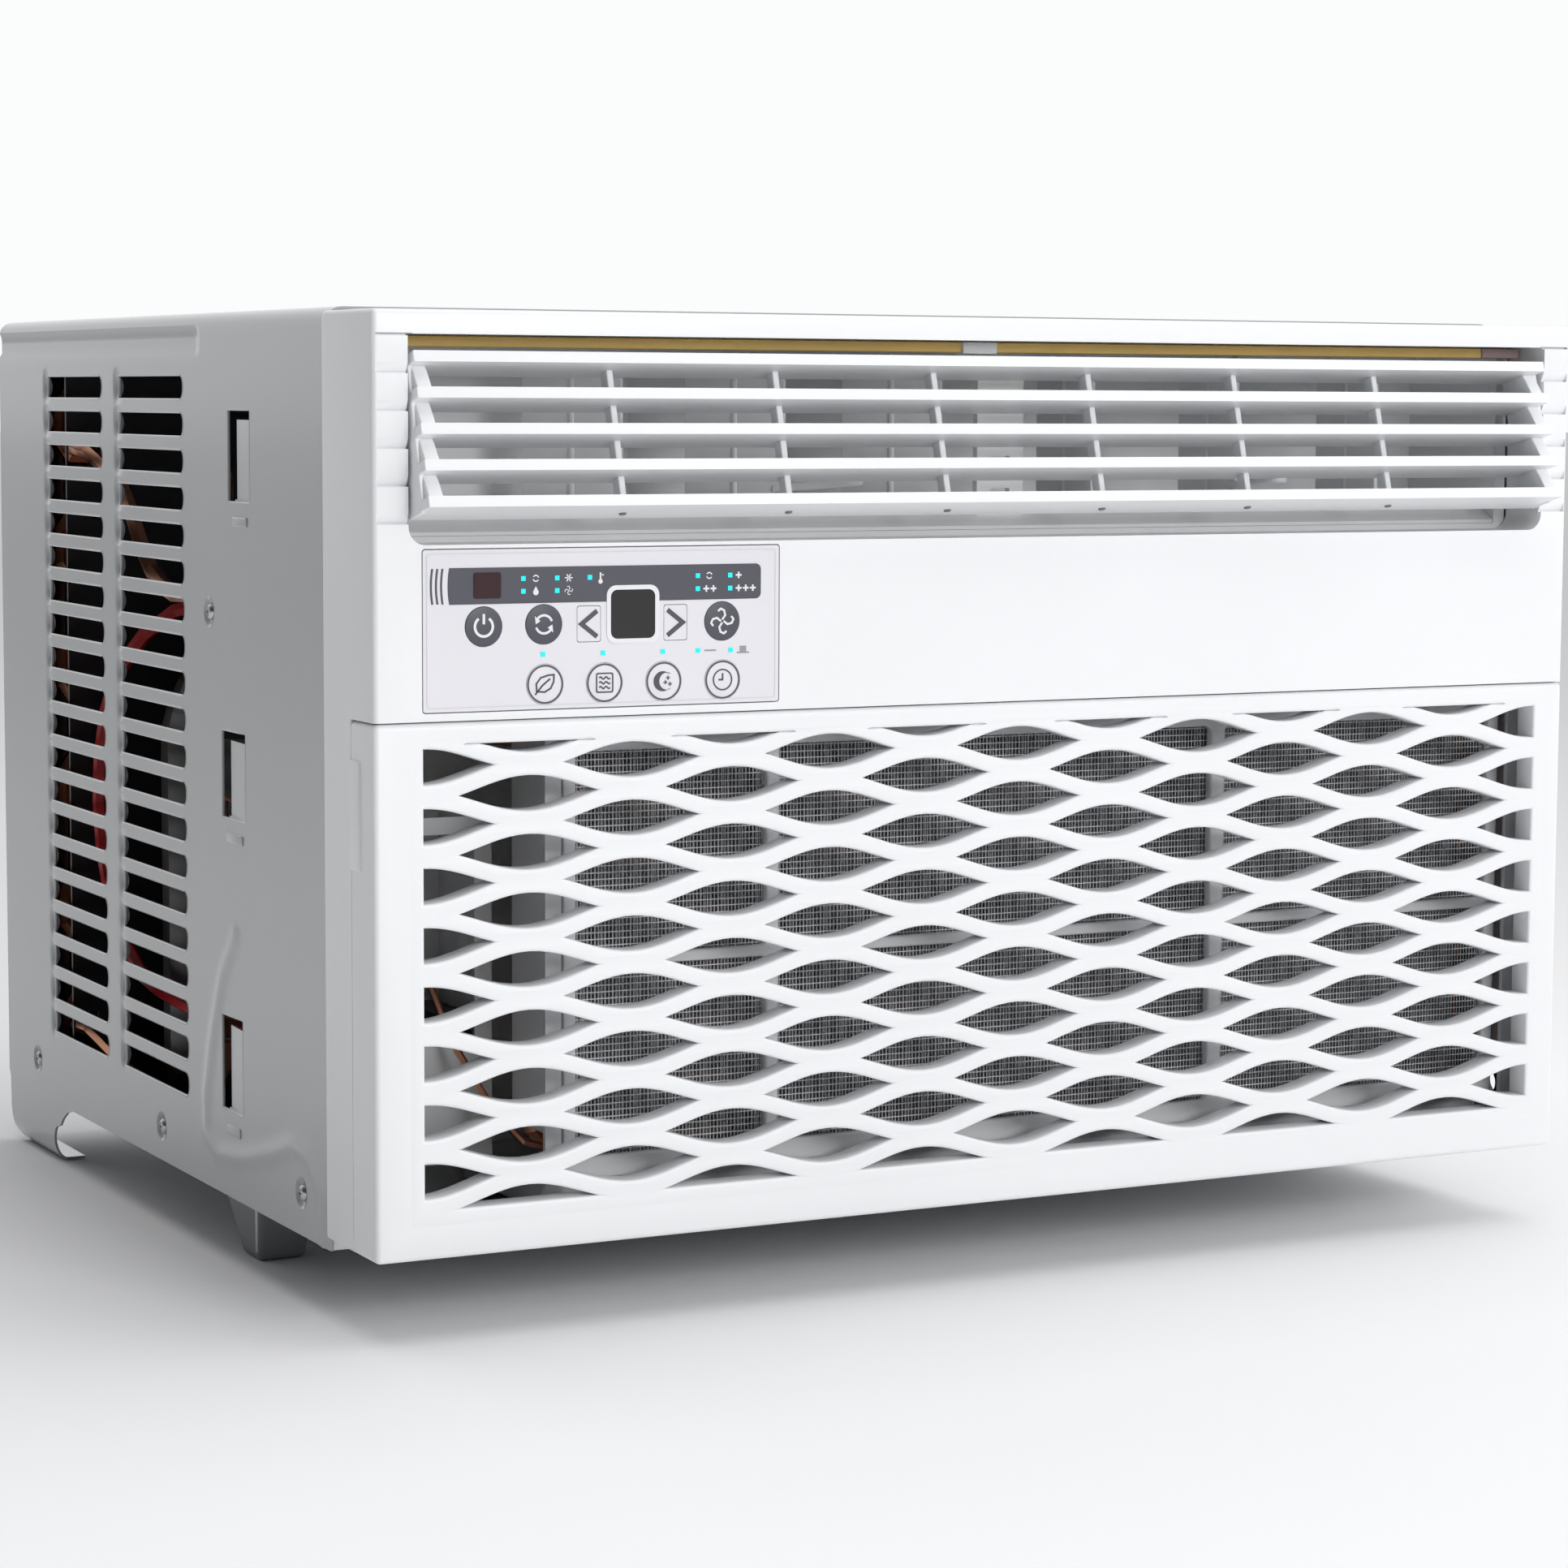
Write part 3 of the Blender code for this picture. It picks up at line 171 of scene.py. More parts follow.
WHITE = finish_of("white_abs", (0.85, 0.86, 0.875), 0.34, vary=0.012, grain=1400, bump=0.05,
                  specular=0.45)
# The insides' white is painted lighter than the outer white plastic: painted light that lifts the parts
# seen through the openings out of their shade.
INNER = finish_of("inner_white", (0.90, 0.91, 0.92), 0.30, vary=0.03, bump=0.03)
# SHADE paints the small feet under the louver's ribs dark grey: painted shade standing in for the shade
# in small recesses.
SHADE = finish_of("painted_shade_grey", (0.16, 0.17, 0.18), 0.55, vary=0.05)
FILM = finish_of("overlay_film", (0.755, 0.745, 0.785), 0.42, vary=0.008, grain=2600, bump=0.06)
SLATE = finish_of("slate_print", (0.066, 0.066, 0.088), 0.42, vary=0.03, grain=2600, bump=0.05)
PRINT_WHITE = finish_of("white_print", (0.80, 0.80, 0.83), 0.5, vary=0.01)
PRINT_GREY = finish_of("grey_print", (0.30, 0.30, 0.34), 0.5, vary=0.01)
GLASS_BLACK = finish_of("display_black", (0.012, 0.012, 0.013), 0.22, vary=0.1)
MAROON = finish_of("eye_maroon", (0.042, 0.016, 0.020), 0.30, vary=0.1, specular=0.25)
CYAN = glow_of("indicator_cyan", (0.0, 0.72, 0.76), 0.35)
# The cabinet's grey is partly the sheet's own light grey and partly painted shade: it is darkened to
# match the side that lies in shade.
ENAMEL = finish_of("grey_enamel", (0.385, 0.40, 0.415), 0.20, vary=0.025, grain=520, bump=0.10,
                   cloud=5.0, coat=0.6, bump_distance=0.0003)
STEEL = finish_of("zinc_steel", (0.52, 0.53, 0.55), 0.36, 1.0, vary=0.12, grain=300, cloud=60, bump=0.05)
SCREW = finish_of("screw_zinc", (0.50, 0.51, 0.53), 0.28, 1.0, vary=0.08, grain=1500)
DARK = finish_of("dark_paint", (0.17, 0.177, 0.186), 0.42, vary=0.06, grain=700, bump=0.1)
BLACK = finish_of("black_plastic", (0.014, 0.014, 0.016), 0.45, vary=0.1)
CAN = finish_of("compressor_enamel", (0.010, 0.010, 0.011), 0.32, vary=0.15, grain=400, bump=0.15)
FINS = finish_of("fin_aluminium", (0.74, 0.75, 0.77), 0.42, 0.6, vary=0.06, grain=600)
COPPER = finish_of("copper_tube", (0.66, 0.32, 0.20), 0.30, 1.0, vary=0.20, cloud=60, grain=500)
RED = finish_of("red_insulation", (0.52, 0.010, 0.012), 0.42, vary=0.05)
GREEN = finish_of("solder_mask", (0.02, 0.12, 0.05), 0.4, vary=0.05)
MESH = finish_of("filter_strand", (0.52, 0.53, 0.545), 0.55, vary=0.05)
GOLD = finish_of("lining_gold", (0.90, 0.62, 0.20), 0.55, vary=0.06, cloud=25, grain=500, bump=0.3)
PALE_LINE = finish_of("pale_line", (0.66, 0.65, 0.70), 0.45, vary=0.01)
WEFT = finish_of("filter_weft", (0.76, 0.77, 0.78), 0.5, vary=0.05)
ROSE = finish_of("lining_rose", (0.50, 0.36, 0.35), 0.55, vary=0.06)
FLOOR = finish_of("floor_white", (0.90, 0.90, 0.905), 0.85, vary=0.004, cloud=2.0, specular=0.1)

# The CAD nodes that stay visible
CAD_FINISHES = {
    WHITE: ["vane_link_left", "vane_link_right"],
    INNER: ["outlet_duct", "control_box", "drain_tray", "blower_scroll", "bulkhead"],
    BLACK: ["blower_wheel", "condenser_fan", "cord_gland", "terminal_cover", "terminal_block",
            "run_capacitor", "fan_shroud"],
    STEEL: ["base_pan", "fan_motor", "motor_shaft", "motor_bracket"],
    COPPER: ["suction_pipe", "discharge_pipe", "liquid_line", "filter_drier", "capillary_tube",
             "room_sensor", "evaporator_bends", "condenser_bends"],
    CAN: ["compressor", "accumulator"],
    GREEN: ["control_board"],
    RED: ["compressor_lead"],
}
for finish, names in CAD_FINISHES.items():
    for name in names:
        nodes[name].data.materials.clear()
        nodes[name].data.materials.append(finish)


# ---- mesh helpers

def put(name, data, finish=None):
    obj = bpy.data.objects.new(name, data)
    bpy.context.scene.collection.objects.link(obj)
    if finish:
        data.materials.clear()
        data.materials.append(finish)
    return obj


def made_piece(name, made, finish=None):
    mesh = bpy.data.meshes.new(name)
    made.to_mesh(mesh)
    made.free()
    return put(name, mesh, finish)


def curve_piece(name, loops, dimensions, bevel, rings, finish):
    """Closed lines as a curve object. Each loop gives its points in the object's own space."""
    curve = bpy.data.curves.new(name, "CURVE")
    curve.dimensions = dimensions
    curve.bevel_depth = bevel
    curve.bevel_resolution = rings
    for loop in loops:
        spline = curve.splines.new("POLY")
        spline.points.add(len(loop) - 1)
        for point, spot in zip(spline.points, loop):
            point.co = (*spot, 1)
        spline.use_cyclic_u = True
    return put(name, curve, finish)


def flatten(obj):
    """Applies an object's modifiers and place to its mesh."""
    bpy.context.view_layer.update()
    graph = bpy.context.evaluated_depsgraph_get()
    mesh = bpy.data.meshes.new_from_object(obj.evaluated_get(graph))
    mesh.transform(obj.matrix_world)
    welded = bmesh.new()
    welded.from_mesh(mesh)
    bmesh.ops.remove_doubles(welded, verts=welded.verts, dist=1e-6)
    welded.to_mesh(mesh)
    welded.free()
    name = obj.name
    finish = obj.active_material
    bpy.data.objects.remove(obj)
    mesh.name = name
    made = put(name, mesh)
    if finish and not mesh.materials:
        mesh.materials.append(finish)
    return made


def merge(name, pieces, finish=None):
    """Several pieces as one mesh, each keeping its own finish unless one is given."""
    made = bmesh.new()
    finishes = []
    for piece in [flatten(piece) for piece in pieces]:
        own = finish or piece.active_material
        if own not in finishes:
            finishes.append(own)
        slot = finishes.index(own)
        start = len(made.faces)
        made.from_mesh(piece.data)
        made.faces.ensure_lookup_table()
        for face in made.faces[start:]:
            face.material_index = slot
        bpy.data.objects.remove(piece)
    obj = made_piece(name, made)
    for own in finishes:
        obj.data.materials.append(own)
    return obj


def smooth_by_angle(obj, degrees=35):
    obj.data.shade_smooth()
    obj.data.set_sharp_from_angle(angle=radians(degrees))
    return obj


def add_box(made, low, top):
    low, top = Vector(low), Vector(top)
    fresh = bmesh.ops.create_cube(made, size=1.0)["verts"]
    bmesh.ops.scale(made, vec=top - low, verts=fresh)
    bmesh.ops.translate(made, vec=(top + low) / 2, verts=fresh)


def block(name, x, y, z, finish=None, radius=0.0, segments=3):
    """A box between the two ends given for each direction, with round edges."""
    made = bmesh.new()
    add_box(made, (x[0], y[0], z[0]), (x[1], y[1], z[1]))
    if radius:
        bmesh.ops.bevel(made, geom=made.edges[:], offset=radius, segments=segments,
                        affect="EDGES", profile=0.5, clamp_overlap=True)
    return smooth_by_angle(made_piece(name, made, finish))


def slab(name, x, depths, heights, finish=None, radius=0.0, segments=3):
    """A block whose ends are given as depths and heights."""
    y, z = [deep(depth) for depth in depths], [high(height) for height in heights]
    return block(name, x, y, z, finish, radius, segments)


def rod(name, centre, radius, length, axis, finish=None, sides=32, rounding=0.0):
    turn = {"X": Matrix.Rotation(pi / 2, 4, "Y"), "Y": Matrix.Rotation(-pi / 2, 4, "X")}
    made = bmesh.new()
    place = Matrix.Translation(centre) @ turn.get(axis, Matrix.Identity(4))
    bmesh.ops.create_cone(made, cap_ends=True, segments=sides, depth=length, radius1=radius,
                          radius2=radius, matrix=place)
    if rounding:
        rims = [e for e in made.edges if len(e.link_faces) == 2
                and any(len(f.verts) > 4 for f in e.link_faces)]
        bmesh.ops.bevel(made, geom=rims, offset=rounding, segments=3, affect="EDGES", profile=0.5)
    return smooth_by_angle(made_piece(name, made, finish), 40)


def plate(name, loops, middle, thickness, normal, finish=None, edge=0.0, rings=2):
    """A flat sheet with soft edges. Its outline comes first in loops and its holes after it.

    Along Y, loops hold (X, height) and middle is a depth. Otherwise they are taken as they are.
    """
    lift = BASE if normal == "Y" else 0.0
    obj = curve_piece(name, [[(across, up + lift, 0) for across, up in loop] for loop in loops],
                      "2D", edge, rings, finish)
    obj.data.fill_mode = "BOTH"
    obj.data.extrude = thickness / 2 - edge
    obj.data.offset = -edge
    if normal == "Y":
        obj.matrix_world = (Matrix.Translation((0, deep(middle), 0))
                            @ Matrix.Rotation(pi / 2, 4, "X"))
    elif normal == "X":
        turn = Matrix(((0, 0, 1, 0), (1, 0, 0, 0), (0, 1, 0, 0), (0, 0, 0, 1)))
        obj.matrix_world = Matrix.Translation((middle, 0, 0)) @ turn
    else:
        obj.matrix_world = Matrix.Translation((0, 0, middle))
    return smooth_by_angle(flatten(obj), 40)


def cut(obj, *tools):
    for tool in tools:
        step = obj.modifiers.new(tool.name, "BOOLEAN")
        step.operation = "DIFFERENCE"
        step.solver = "EXACT"
        step.object = tool
    made = flatten(obj)
    for tool in tools:
        bpy.data.objects.remove(tool)
    return made


def arc(cx, cz, radius, start, stop, steps=16):
    """Points of a circle's arc between two angles in degrees, both ends included."""
    turns = [radians(start + (stop - start) * i / steps) for i in range(steps + 1)]
    return [(cx + radius * cos(turn), cz + radius * sin(turn)) for turn in turns]


def circle(cx, cz, radius, sides=32):
    return arc(cx, cz, radius, 0, 360, sides)[:-1]


def slot_outline(near, far, low, top, near_radius, far_radius, corner=5):
    """A rectangle with one corner radius at its near end and one at its far end."""
    return [
        *arc(far - far_radius, low + far_radius, far_radius, -90, 0, corner),
        *arc(far - far_radius, top - far_radius, far_radius, 0, 90, corner),
        *arc(near + near_radius, top - near_radius, near_radius, 90, 180, corner),
        *arc(near + near_radius, low + near_radius, near_radius, 180, 270, corner),
    ]


def rectangle(x, z, radius=0.0, corner=6):
    if radius:
        return slot_outline(*x, *z, radius, radius, corner)
    return [(x[0], z[0]), (x[1], z[0]), (x[1], z[1]), (x[0], z[1])]


def around(cx, cz, half_x, half_z, radius=0.0, corner=6):
    """A rectangle given by its centre and half its sides."""
    return rectangle((cx - half_x, cx + half_x), (cz - half_z, cz + half_z), radius, corner)


def mount(obj, *stands_for, slot, body="chassis"):
    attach(obj, body)
    if stands_for:
        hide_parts(*stands_for)


# ---- bezel

def prism(name, profile, x):
    """A closed outline of (depth, height) drawn out from one X to another."""
    made = bmesh.new()
    rings = [[made.verts.new((px, deep(py), high(pz))) for py, pz in profile] for px in x]
    count = len(profile)
    for i in range(count):
        j = (i + 1) % count
        made.faces.new((rings[0][i], rings[0][j], rings[1][j], rings[1][i]))
    made.faces.new(rings[0][::-1])
    made.faces.new(rings[1])
    bmesh.ops.recalc_face_normals(made, faces=made.faces)
    return made_piece(name, made)


EDGE_RADIUS = 0.0020  # of the bezel's and the panel's front edges
PANEL_GAP = 0.0004  # between the closed panel and the bezel
THROUGH = (-0.3, 0.3)  # wider than the unit, for tools that cut right through it


def cheek_grooves():
    """The grooves of the stepped cheeks, each with the chamfer above it, on both sides."""
    grooves = []
    for side in (-1, 1):
        x = sorted((side * (OUTLET_HALF - 0.002), side * (HALF - 0.0012)))
        for row in range(6):
            z = 0.3052 - row * 0.01222
            rise = 0.0034 if row else 0.0006
            profile = [(-0.002, z - 0.0003), (0.0019, z - 0.0003), (0.0019, z + 0.0002),
                       (0.0016, z + 0.0003), (0.0, z + rise), (-0.002, z + rise)]
            grooves.append(prism("groove", profile, x))
    return merge("grooves", grooves)


def mouth_outline():
    """The outlet's mouth, with square upper and round lower corners."""
    left, right, radius = -OUTLET_HALF + 0.0004, OUTLET_HALF, 0.006
    return [*arc(left + radius, OUTLET_LOW + radius, radius, 180, 270, 8),
            *arc(right - radius, OUTLET_LOW + radius, radius, 270, 360, 8),
            (right, OUTLET_HIGH), (left, OUTLET_HIGH)]


def bezel_skin():
    wall = 0.0025
    skin = slab("front_bezel_skin", (-HALF, HALF), (0, BEZEL_DEPTH + 0.03), (0, BEZEL_HEIGHT),
                WHITE, EDGE_RADIUS, 4)
    outlet = plate("outlet_cut", [mouth_outline()], 0.005, 0.05, "Y")
    hollow = slab("hollow", (-HALF + wall, HALF - wall), (wall, 0.10), (wall, BEZEL_HEIGHT - wall))
    seat = slab("seat", THROUGH, (-0.01, PANEL_DEPTH + PANEL_GAP), (-0.02, PANEL_TOP + PANEL_GAP))
    back = slab("back", THROUGH, (BEZEL_DEPTH, 0.12), (-0.05, 0.4))
    overlay = plate("overlay_cut", [rectangle((OVERLAY_LEFT - 0.0004, OVERLAY_RIGHT + 0.0004),
                                              (PANEL_TOP + 0.0030, 0.2358), 0.0012)],
                    -0.004, 0.0124, "Y")
    ways = [circle(cx, cz, radius + 0.0005, 40) for cx, cz, radius in ROUND_KEYS.values()]
    ways += [around(cx, cz, 0.0046, 0.0061) for cx, cz, _ in ARROWS.values()]
    ways = plate("key_ways", ways, 0.0030, 0.0024, "Y")
    gland = rod("gland_cut", (HALF, deep(0.034), high(0.020)), 0.0078, 0.03, "X")
    skin = cut(skin, hollow, seat, back, outlet, overlay, gland)
    skin = cut(skin, ways)
    return smooth_by_angle(cut(skin, cheek_grooves()), 30)


def bezel():
    collar = rectangle((-OUTLET_HALF - 0.002, OUTLET_HALF + 0.002),
                       (OUTLET_LOW - 0.002, OUTLET_HIGH + 0.002), 0.006)
    lower_face = [
        rectangle((-HALF + 0.001, HALF - 0.001), (0.001, PANEL_TOP + 0.003)),
        rectangle((-0.1660, 0.2330), (0.012, 0.1735), 0.004),
        rectangle((-0.2330, -0.1720), (0.012, 0.1735), 0.004),
    ]
    pieces = [
        bezel_skin(),
        plate("collar", [collar, mouth_outline()], 0.0119, 0.0190, "Y", WHITE),
        plate("lower_face", lower_face, PANEL_DEPTH + 0.0014, 0.0020, "Y", WHITE),
        slab("ledge", (-HALF + 0.001, HALF - 0.001), (0.0015, PANEL_DEPTH + 0.002),
             (PANEL_TOP + PANEL_GAP, PANEL_TOP + 0.0024), WHITE),
        slab("filter_wall", (-0.1703, -0.1691), (0.0245, 0.0535), (0.034, 0.172), INNER, 0.0003),
    ]
    mount(merge("bezel", pieces), "front_bezel", slot="white_plastic")


bezel()


# ---- intake panel

def lens_loops(samples=14):
    """Outlines of the grille's holes, each between two cosine waves and clipped at the frame."""
    wave = (GRILLE_RIGHT - GRILLE_LEFT) * 2 / LENS_COLUMNS
    tip = 0.3325 * wave
    loops = []
    for column in range(LENS_COLUMNS + 1):
        cx = GRILLE_LEFT + column * wave / 2
        left, right = max(cx - tip, GRILLE_LEFT), min(cx + tip, GRILLE_RIGHT)
        odd = column % 2
        for row in range(8 + odd):
            cz = GRILLE_LOW + (row + 0.5 - 0.5 * odd) * LENS_PITCH
            lower, upper = [], []
            for i in range(samples + 1):
                x = left + (right - left) * i / samples
                swell = 0.2006 * LENS_PITCH * (cos(2 * pi * (x - cx) / wave) + 0.4955)
                swell = max(swell, 0.0)
                lower.append((x, min(max(cz - swell, GRILLE_LOW), GRILLE_HIGH)))
                upper.append((x, min(cz + swell, GRILLE_HIGH)))
            loop = lower + upper[::-1]
            loop = [p for p, q in zip(loop, loop[1:] + loop[:1]) if dist(p, q) > 1e-4]
            if max(z for _, z in loop) - min(z for _, z in loop) > 0.0015:
                loops.append(loop)
    return loops


def intake_panel():
    """A tray with round front edges. Its flat face is a plate whose rim lies inside the tray's."""
    soft, wall = 0.0011, 0.0024
    flat_x = (GRILLE_LEFT - 0.005, GRILLE_RIGHT + 0.005)
    flat_z = (GRILLE_LOW - 0.005, GRILLE_HIGH + 0.0035)
    outline = rectangle((flat_x[0] - soft, flat_x[1] + soft), (flat_z[0] - soft, flat_z[1] + soft))
    face = plate("grille_face", [outline, *lens_loops()], GRILLE_RIB / 2, GRILLE_RIB, "Y", WHITE,
                 edge=soft, rings=3)
    shell = slab("grille_shell", (-HALF, HALF), (0, PANEL_DEPTH + 0.02), (0, PANEL_TOP), WHITE,
                 EDGE_RADIUS, 4)
    back = slab("back", THROUGH, (PANEL_DEPTH, 0.1), (-0.1, 0.4))
    hollow = slab("hollow", (-HALF + wall, HALF - wall), (0.004, 0.09), (wall, PANEL_TOP - wall))
    mouth = plate("mouth", [rectangle(flat_x, flat_z)], 0, 0.05, "Y")
    corner = [(HINGE_Y, -0.002), (PANEL_DEPTH + 0.002, -0.002), (PANEL_DEPTH + 0.002, HINGE_Z)]
    heel = prism("heel", corner + arc(HINGE_Y, HINGE_Z, HINGE_Z, 0, -90, 9),
                 (-HALF - 0.002, HALF + 0.002))
    pieces = [face, smooth_by_angle(cut(cut(shell, hollow, back, mouth), heel), 30)]
    for side in (-1, 1):
        x = sorted((side * (HALF - 0.002), side * (HALF + 0.0008)))
        pieces.append(slab("tab", x, (0.0120, PANEL_DEPTH), (0.1295, 0.1660), WHITE, 0.0007))
    mount(merge("intake_panel_front", pieces, WHITE), "intake_grille", slot="white_plastic",
          body="intake_panel")


intake_panel()


# ---- louver

def louver():
    half = OUTLET_HALF - 0.0012
    pitch, thick = BLADE_PITCH, 0.0037
    front, back = -0.0155, 0.0032
    parts = []
    reach = (BLADES - 1) / 2 * pitch
    for i in range(BLADES):
        z = (i - (BLADES - 1) / 2) * pitch
        under, over = z - thick / 2, z + thick / 2
        loop = [(front, under), (back, under), (back, under + 0.0012), (front + 0.004, over),
                (front, over)]
        parts.append(plate("blade", [loop], 0.0, 2 * half - 0.0006, "X", WHITE, edge=0.0005))
    for x in RIB_X:
        loop = [(-0.0062, -reach), (-0.0062, reach), (-0.0012, reach), (-0.0012, -reach)]
        parts.append(plate("rib", [loop], x, 0.0024, "X", WHITE, edge=0.0005))
        foot = (x, -0.0040, -reach - thick / 2)
        # The rib's foot is painted dark grey: painted shade for a small recess.
        parts.append(rod("rib_foot", foot, 0.0013, 0.0012, "Z", SHADE, 20, 0.0004))
    for side in (-1, 1):
        for i in range(BLADES - 1):
            low = (i - (BLADES - 1) / 2) * pitch
            loop = [(front + 0.0012, low + 0.0008), (front + 0.0044, low + pitch - 0.0042),
                    (front + 0.0060, low + pitch - 0.0016), (0.0030, low + pitch), (0.0030, low)]
            bar = plate("end_bar", [loop], side * (half - 0.0040), 0.0052, "X", WHITE, edge=0.0005)
            parts.append(bar)
        loop = rectangle((-0.0100, 0.0035), (-reach - 0.0022, reach + 0.0022), 0.002)
        parts.append(plate("end_plate", [loop], side * (half - 0.0011), 0.0018, "X", WHITE, edge=0.0004))
        parts.append(rod("pin", (side * (half + 0.0006), 0, 0), 0.0026, 0.0050, "X", WHITE, 24, 0.0004))
    frame_piece = merge("louver", parts)
    frame_piece.location = (0, deep(LOUVER_Y), high(LOUVER_Z))
    frame_piece.rotation_euler = (-LOUVER_TILT, 0, 0)
    return flatten(frame_piece)


mount(louver(), "louver_frame", slot="white_plastic", body="louver")


# ---- vanes

def vane(number, x, rest):
    middle = (VANE_LOW + VANE_HIGH) / 2
    low, top, half = VANE_LOW - middle, VANE_HIGH - middle, VANE_CHORD / 2
    loop = [(-half, low + 0.003), (-half + 0.003, low), (half, low), (half, top), (-half + 0.006, top),
            (-half, top - 0.004)]
    parts = [plate("blade", [loop], 0.0, 0.0017, "X", WHITE, edge=0.0006),
             rod("pin", (0, 0, -0.0008), 0.0015, 0.0680, "Z", WHITE, 16),
             rod("link_pin", (0, 0.014, top + 0.002), 0.0015, 0.0058, "Z", WHITE, 16, 0.0004)]
    if number in LEVER_VANES:
        tip = -half - LEVER_REACH
        outline = []
        for i in range(33):
            a = pi + pi * i / 32
            outline.append((0.0046 * cos(a), tip + 0.0056 + 0.0052 * sin(a)))
        outline += [(0.0022, tip + 0.0165), (0.0017, 0.004 - half), (-0.0017, 0.004 - half),
                    (-0.0022, tip + 0.0165)]
        lever = plate("lever", [outline], LEVER_Z - middle, 0.0031, "Z", WHITE, edge=0.0010, rings=3)
        for vert in lever.data.vertices:
            vert.co.z += LEVER_SLOPE * (-half - vert.co.y)
        parts.append(lever)
    piece = merge(f"vane_{number}_blade", parts, WHITE)
    piece.location = (x, deep(VANE_Y), high(middle))
    piece.rotation_euler = (0, 0, rest)
    return flatten(piece)


for index, (vane_x, vane_rest, vane_body) in enumerate(zip(VANE_X, VANE_REST, VANE_BODIES), 1):
    mount(vane(index, vane_x, vane_rest), f"vane_{index}", slot="white_plastic", body=vane_body)


# ---- cabinet

VENT_ROWS = 20
VENT_PITCH = 0.0136
VENT_FIRST = 0.0297
VENT_HALF = 0.0046
LANCES = (  # front, rear, lower and upper ends of the lanced curtain slots
    (0.1210, 0.1440, 0.2475, 0.2803), (0.1280, 0.1530, 0.1340, 0.1658), (0.1330, 0.1555, 0.0276, 0.0623),
)
SIDE_SCREWS = ((0.1656, 0.2074), (0.3862, 0.0105), (0.2255, 0.0088), (0.0746, 0.0107))
CREASE = [  # the soft crease behind the lowest slot and over the foremost screw
    (0.1400, 0.0920), (0.1545, 0.0760), (0.1660, 0.0520), (0.1735, 0.0290), (0.1725, 0.0150),
    (0.1610, 0.0095), (0.1330, 0.0125), (0.1000, 0.0205), (0.0820, 0.0262), (0.0670, 0.0245),
    (0.0560, 0.0150), (0.0535, -0.0030),
]


def ease(t):
    t = min(max(t, 0.0), 1.0)
    return t * t * (3 - 2 * t)


def distance_to_crease(depth, height):
    spot = Vector((depth, height))
    nearest = 1.0
    for (ax, az), (bx, bz) in zip(CREASE, CREASE[1:]):
        start, run = Vector((ax, az)), Vector((bx - ax, bz - az))
        share = min(max((spot - start).dot(run) / run.length_squared, 0.0), 1.0)
        nearest = min(nearest, (spot - start - share * run).length)
    return nearest


def relief(depth, height):
    """How far the side sheet stands out of its plane at a spot."""
    out = 0.0
    edge = min(depth - 0.1765, height - 0.3000, 0.3103 - height)
    out -= 0.0012 * ease(edge / 0.0020)
    row = round((height - VENT_FIRST) / VENT_PITCH)
    if 0 <= row < VENT_ROWS:
        middle = VENT_FIRST + row * VENT_PITCH
        across = 0.5 + 0.5 * cos(2 * pi * (height - middle) / VENT_PITCH)
        for _, far in VENT_COLUMNS:
            if far - 0.004 < depth < far + 0.0045:
                run_out = 0.0045 if depth > far else 0.004
                out -= 0.0019 * across * ease(1 - abs(depth - far) / run_out)
    if depth < 0.19 and height < 0.105:
        out += 0.0009 * exp(-(distance_to_crease(depth, height) / 0.0030) ** 2)
    return out


def on_side(loop):
    """A (depth, height) outline as world (Y, Z)."""
    return [(deep(depth), high(height)) for depth, height in loop]


def side_slots():
    return [slot_outline(near, far, middle - VENT_HALF, middle + VENT_HALF, 0.0040, 0.0012)
            for middle in (VENT_FIRST + VENT_PITCH * row for row in range(VENT_ROWS))
            for near, far in VENT_COLUMNS]


def side_sheet():
    """The left half of the cabinet's sheet, from its foot's flange to the middle of the roof."""
    roof = CAB_TOP.z
    curl_x, curl_z, bend = 0.006, 0.010, 0.006
    path = [(-SIDE + 0.013, 0.0001)]
    for a in range(0, 91, 15):
        turn = radians(a)
        path.append((-SIDE + curl_x - curl_x * sin(turn),
                     max(curl_z - curl_z * cos(turn), 0.0001)))
    rows = 190
    for i in range(1, rows):
        path.append((-SIDE, curl_z + (roof - bend - curl_z) * i / rows))
    for a in range(0, 91, 15):
        turn = radians(a)
        path.append((-SIDE + bend - bend * cos(turn), roof - bend + bend * sin(turn)))
    path += [((-SIDE + bend) * (1 - i / 12), roof) for i in range(1, 13)]
    start = BEZEL_DEPTH + 0.0008
    lines = [start + (REAR - start) * i / 127 for i in range(128)]
    lines += [far + 0.0007 * i for _, far in VENT_COLUMNS for i in range(-3, 7)]
    lines.sort()
    made = bmesh.new()
    grid = []
    for depth in lines:
        column = []
        for x, z in path:
            out = relief(depth, z - BASE) if x == -SIDE else 0.0
            column.append(made.verts.new((x - out, deep(depth), z)))
        grid.append(column)
    for near, far in zip(grid, grid[1:]):
        for i in range(len(path) - 1):
            made.faces.new((near[i], near[i + 1], far[i + 1], far[i]))
    sheet = made_piece("cabinet_side", made, ENAMEL)
    skin = sheet.modifiers.new("sheet", "SOLIDIFY")
    skin.thickness = 0.001
    skin.offset = -1
    return flatten(sheet)


def foot_cuts():
    """What is cut away between and behind the feet, as (depth, height) outlines."""
    hem = -0.0042
    between = [(0.02, -0.04), (0.3645, -0.04)]
    between += [(0.3600 + 0.0045 * cos(a), -0.0205 + 0.0065 * sin(a))
                for a in (radians(10 * i) for i in range(0, 10))]
    between += [(0.3560, -0.0128), (0.3520, -0.0092), (0.3465, -0.0062), (0.3390, hem), (0.02, hem)]
    behind = [(0.4040, -0.04), (0.45, -0.04), (0.45, -0.0005), (0.4278, -0.0005), (0.4262, -0.0030),
              (0.4255, -0.0160), (0.4225, -0.0235), (0.4165, -0.0275)]
    return between, behind


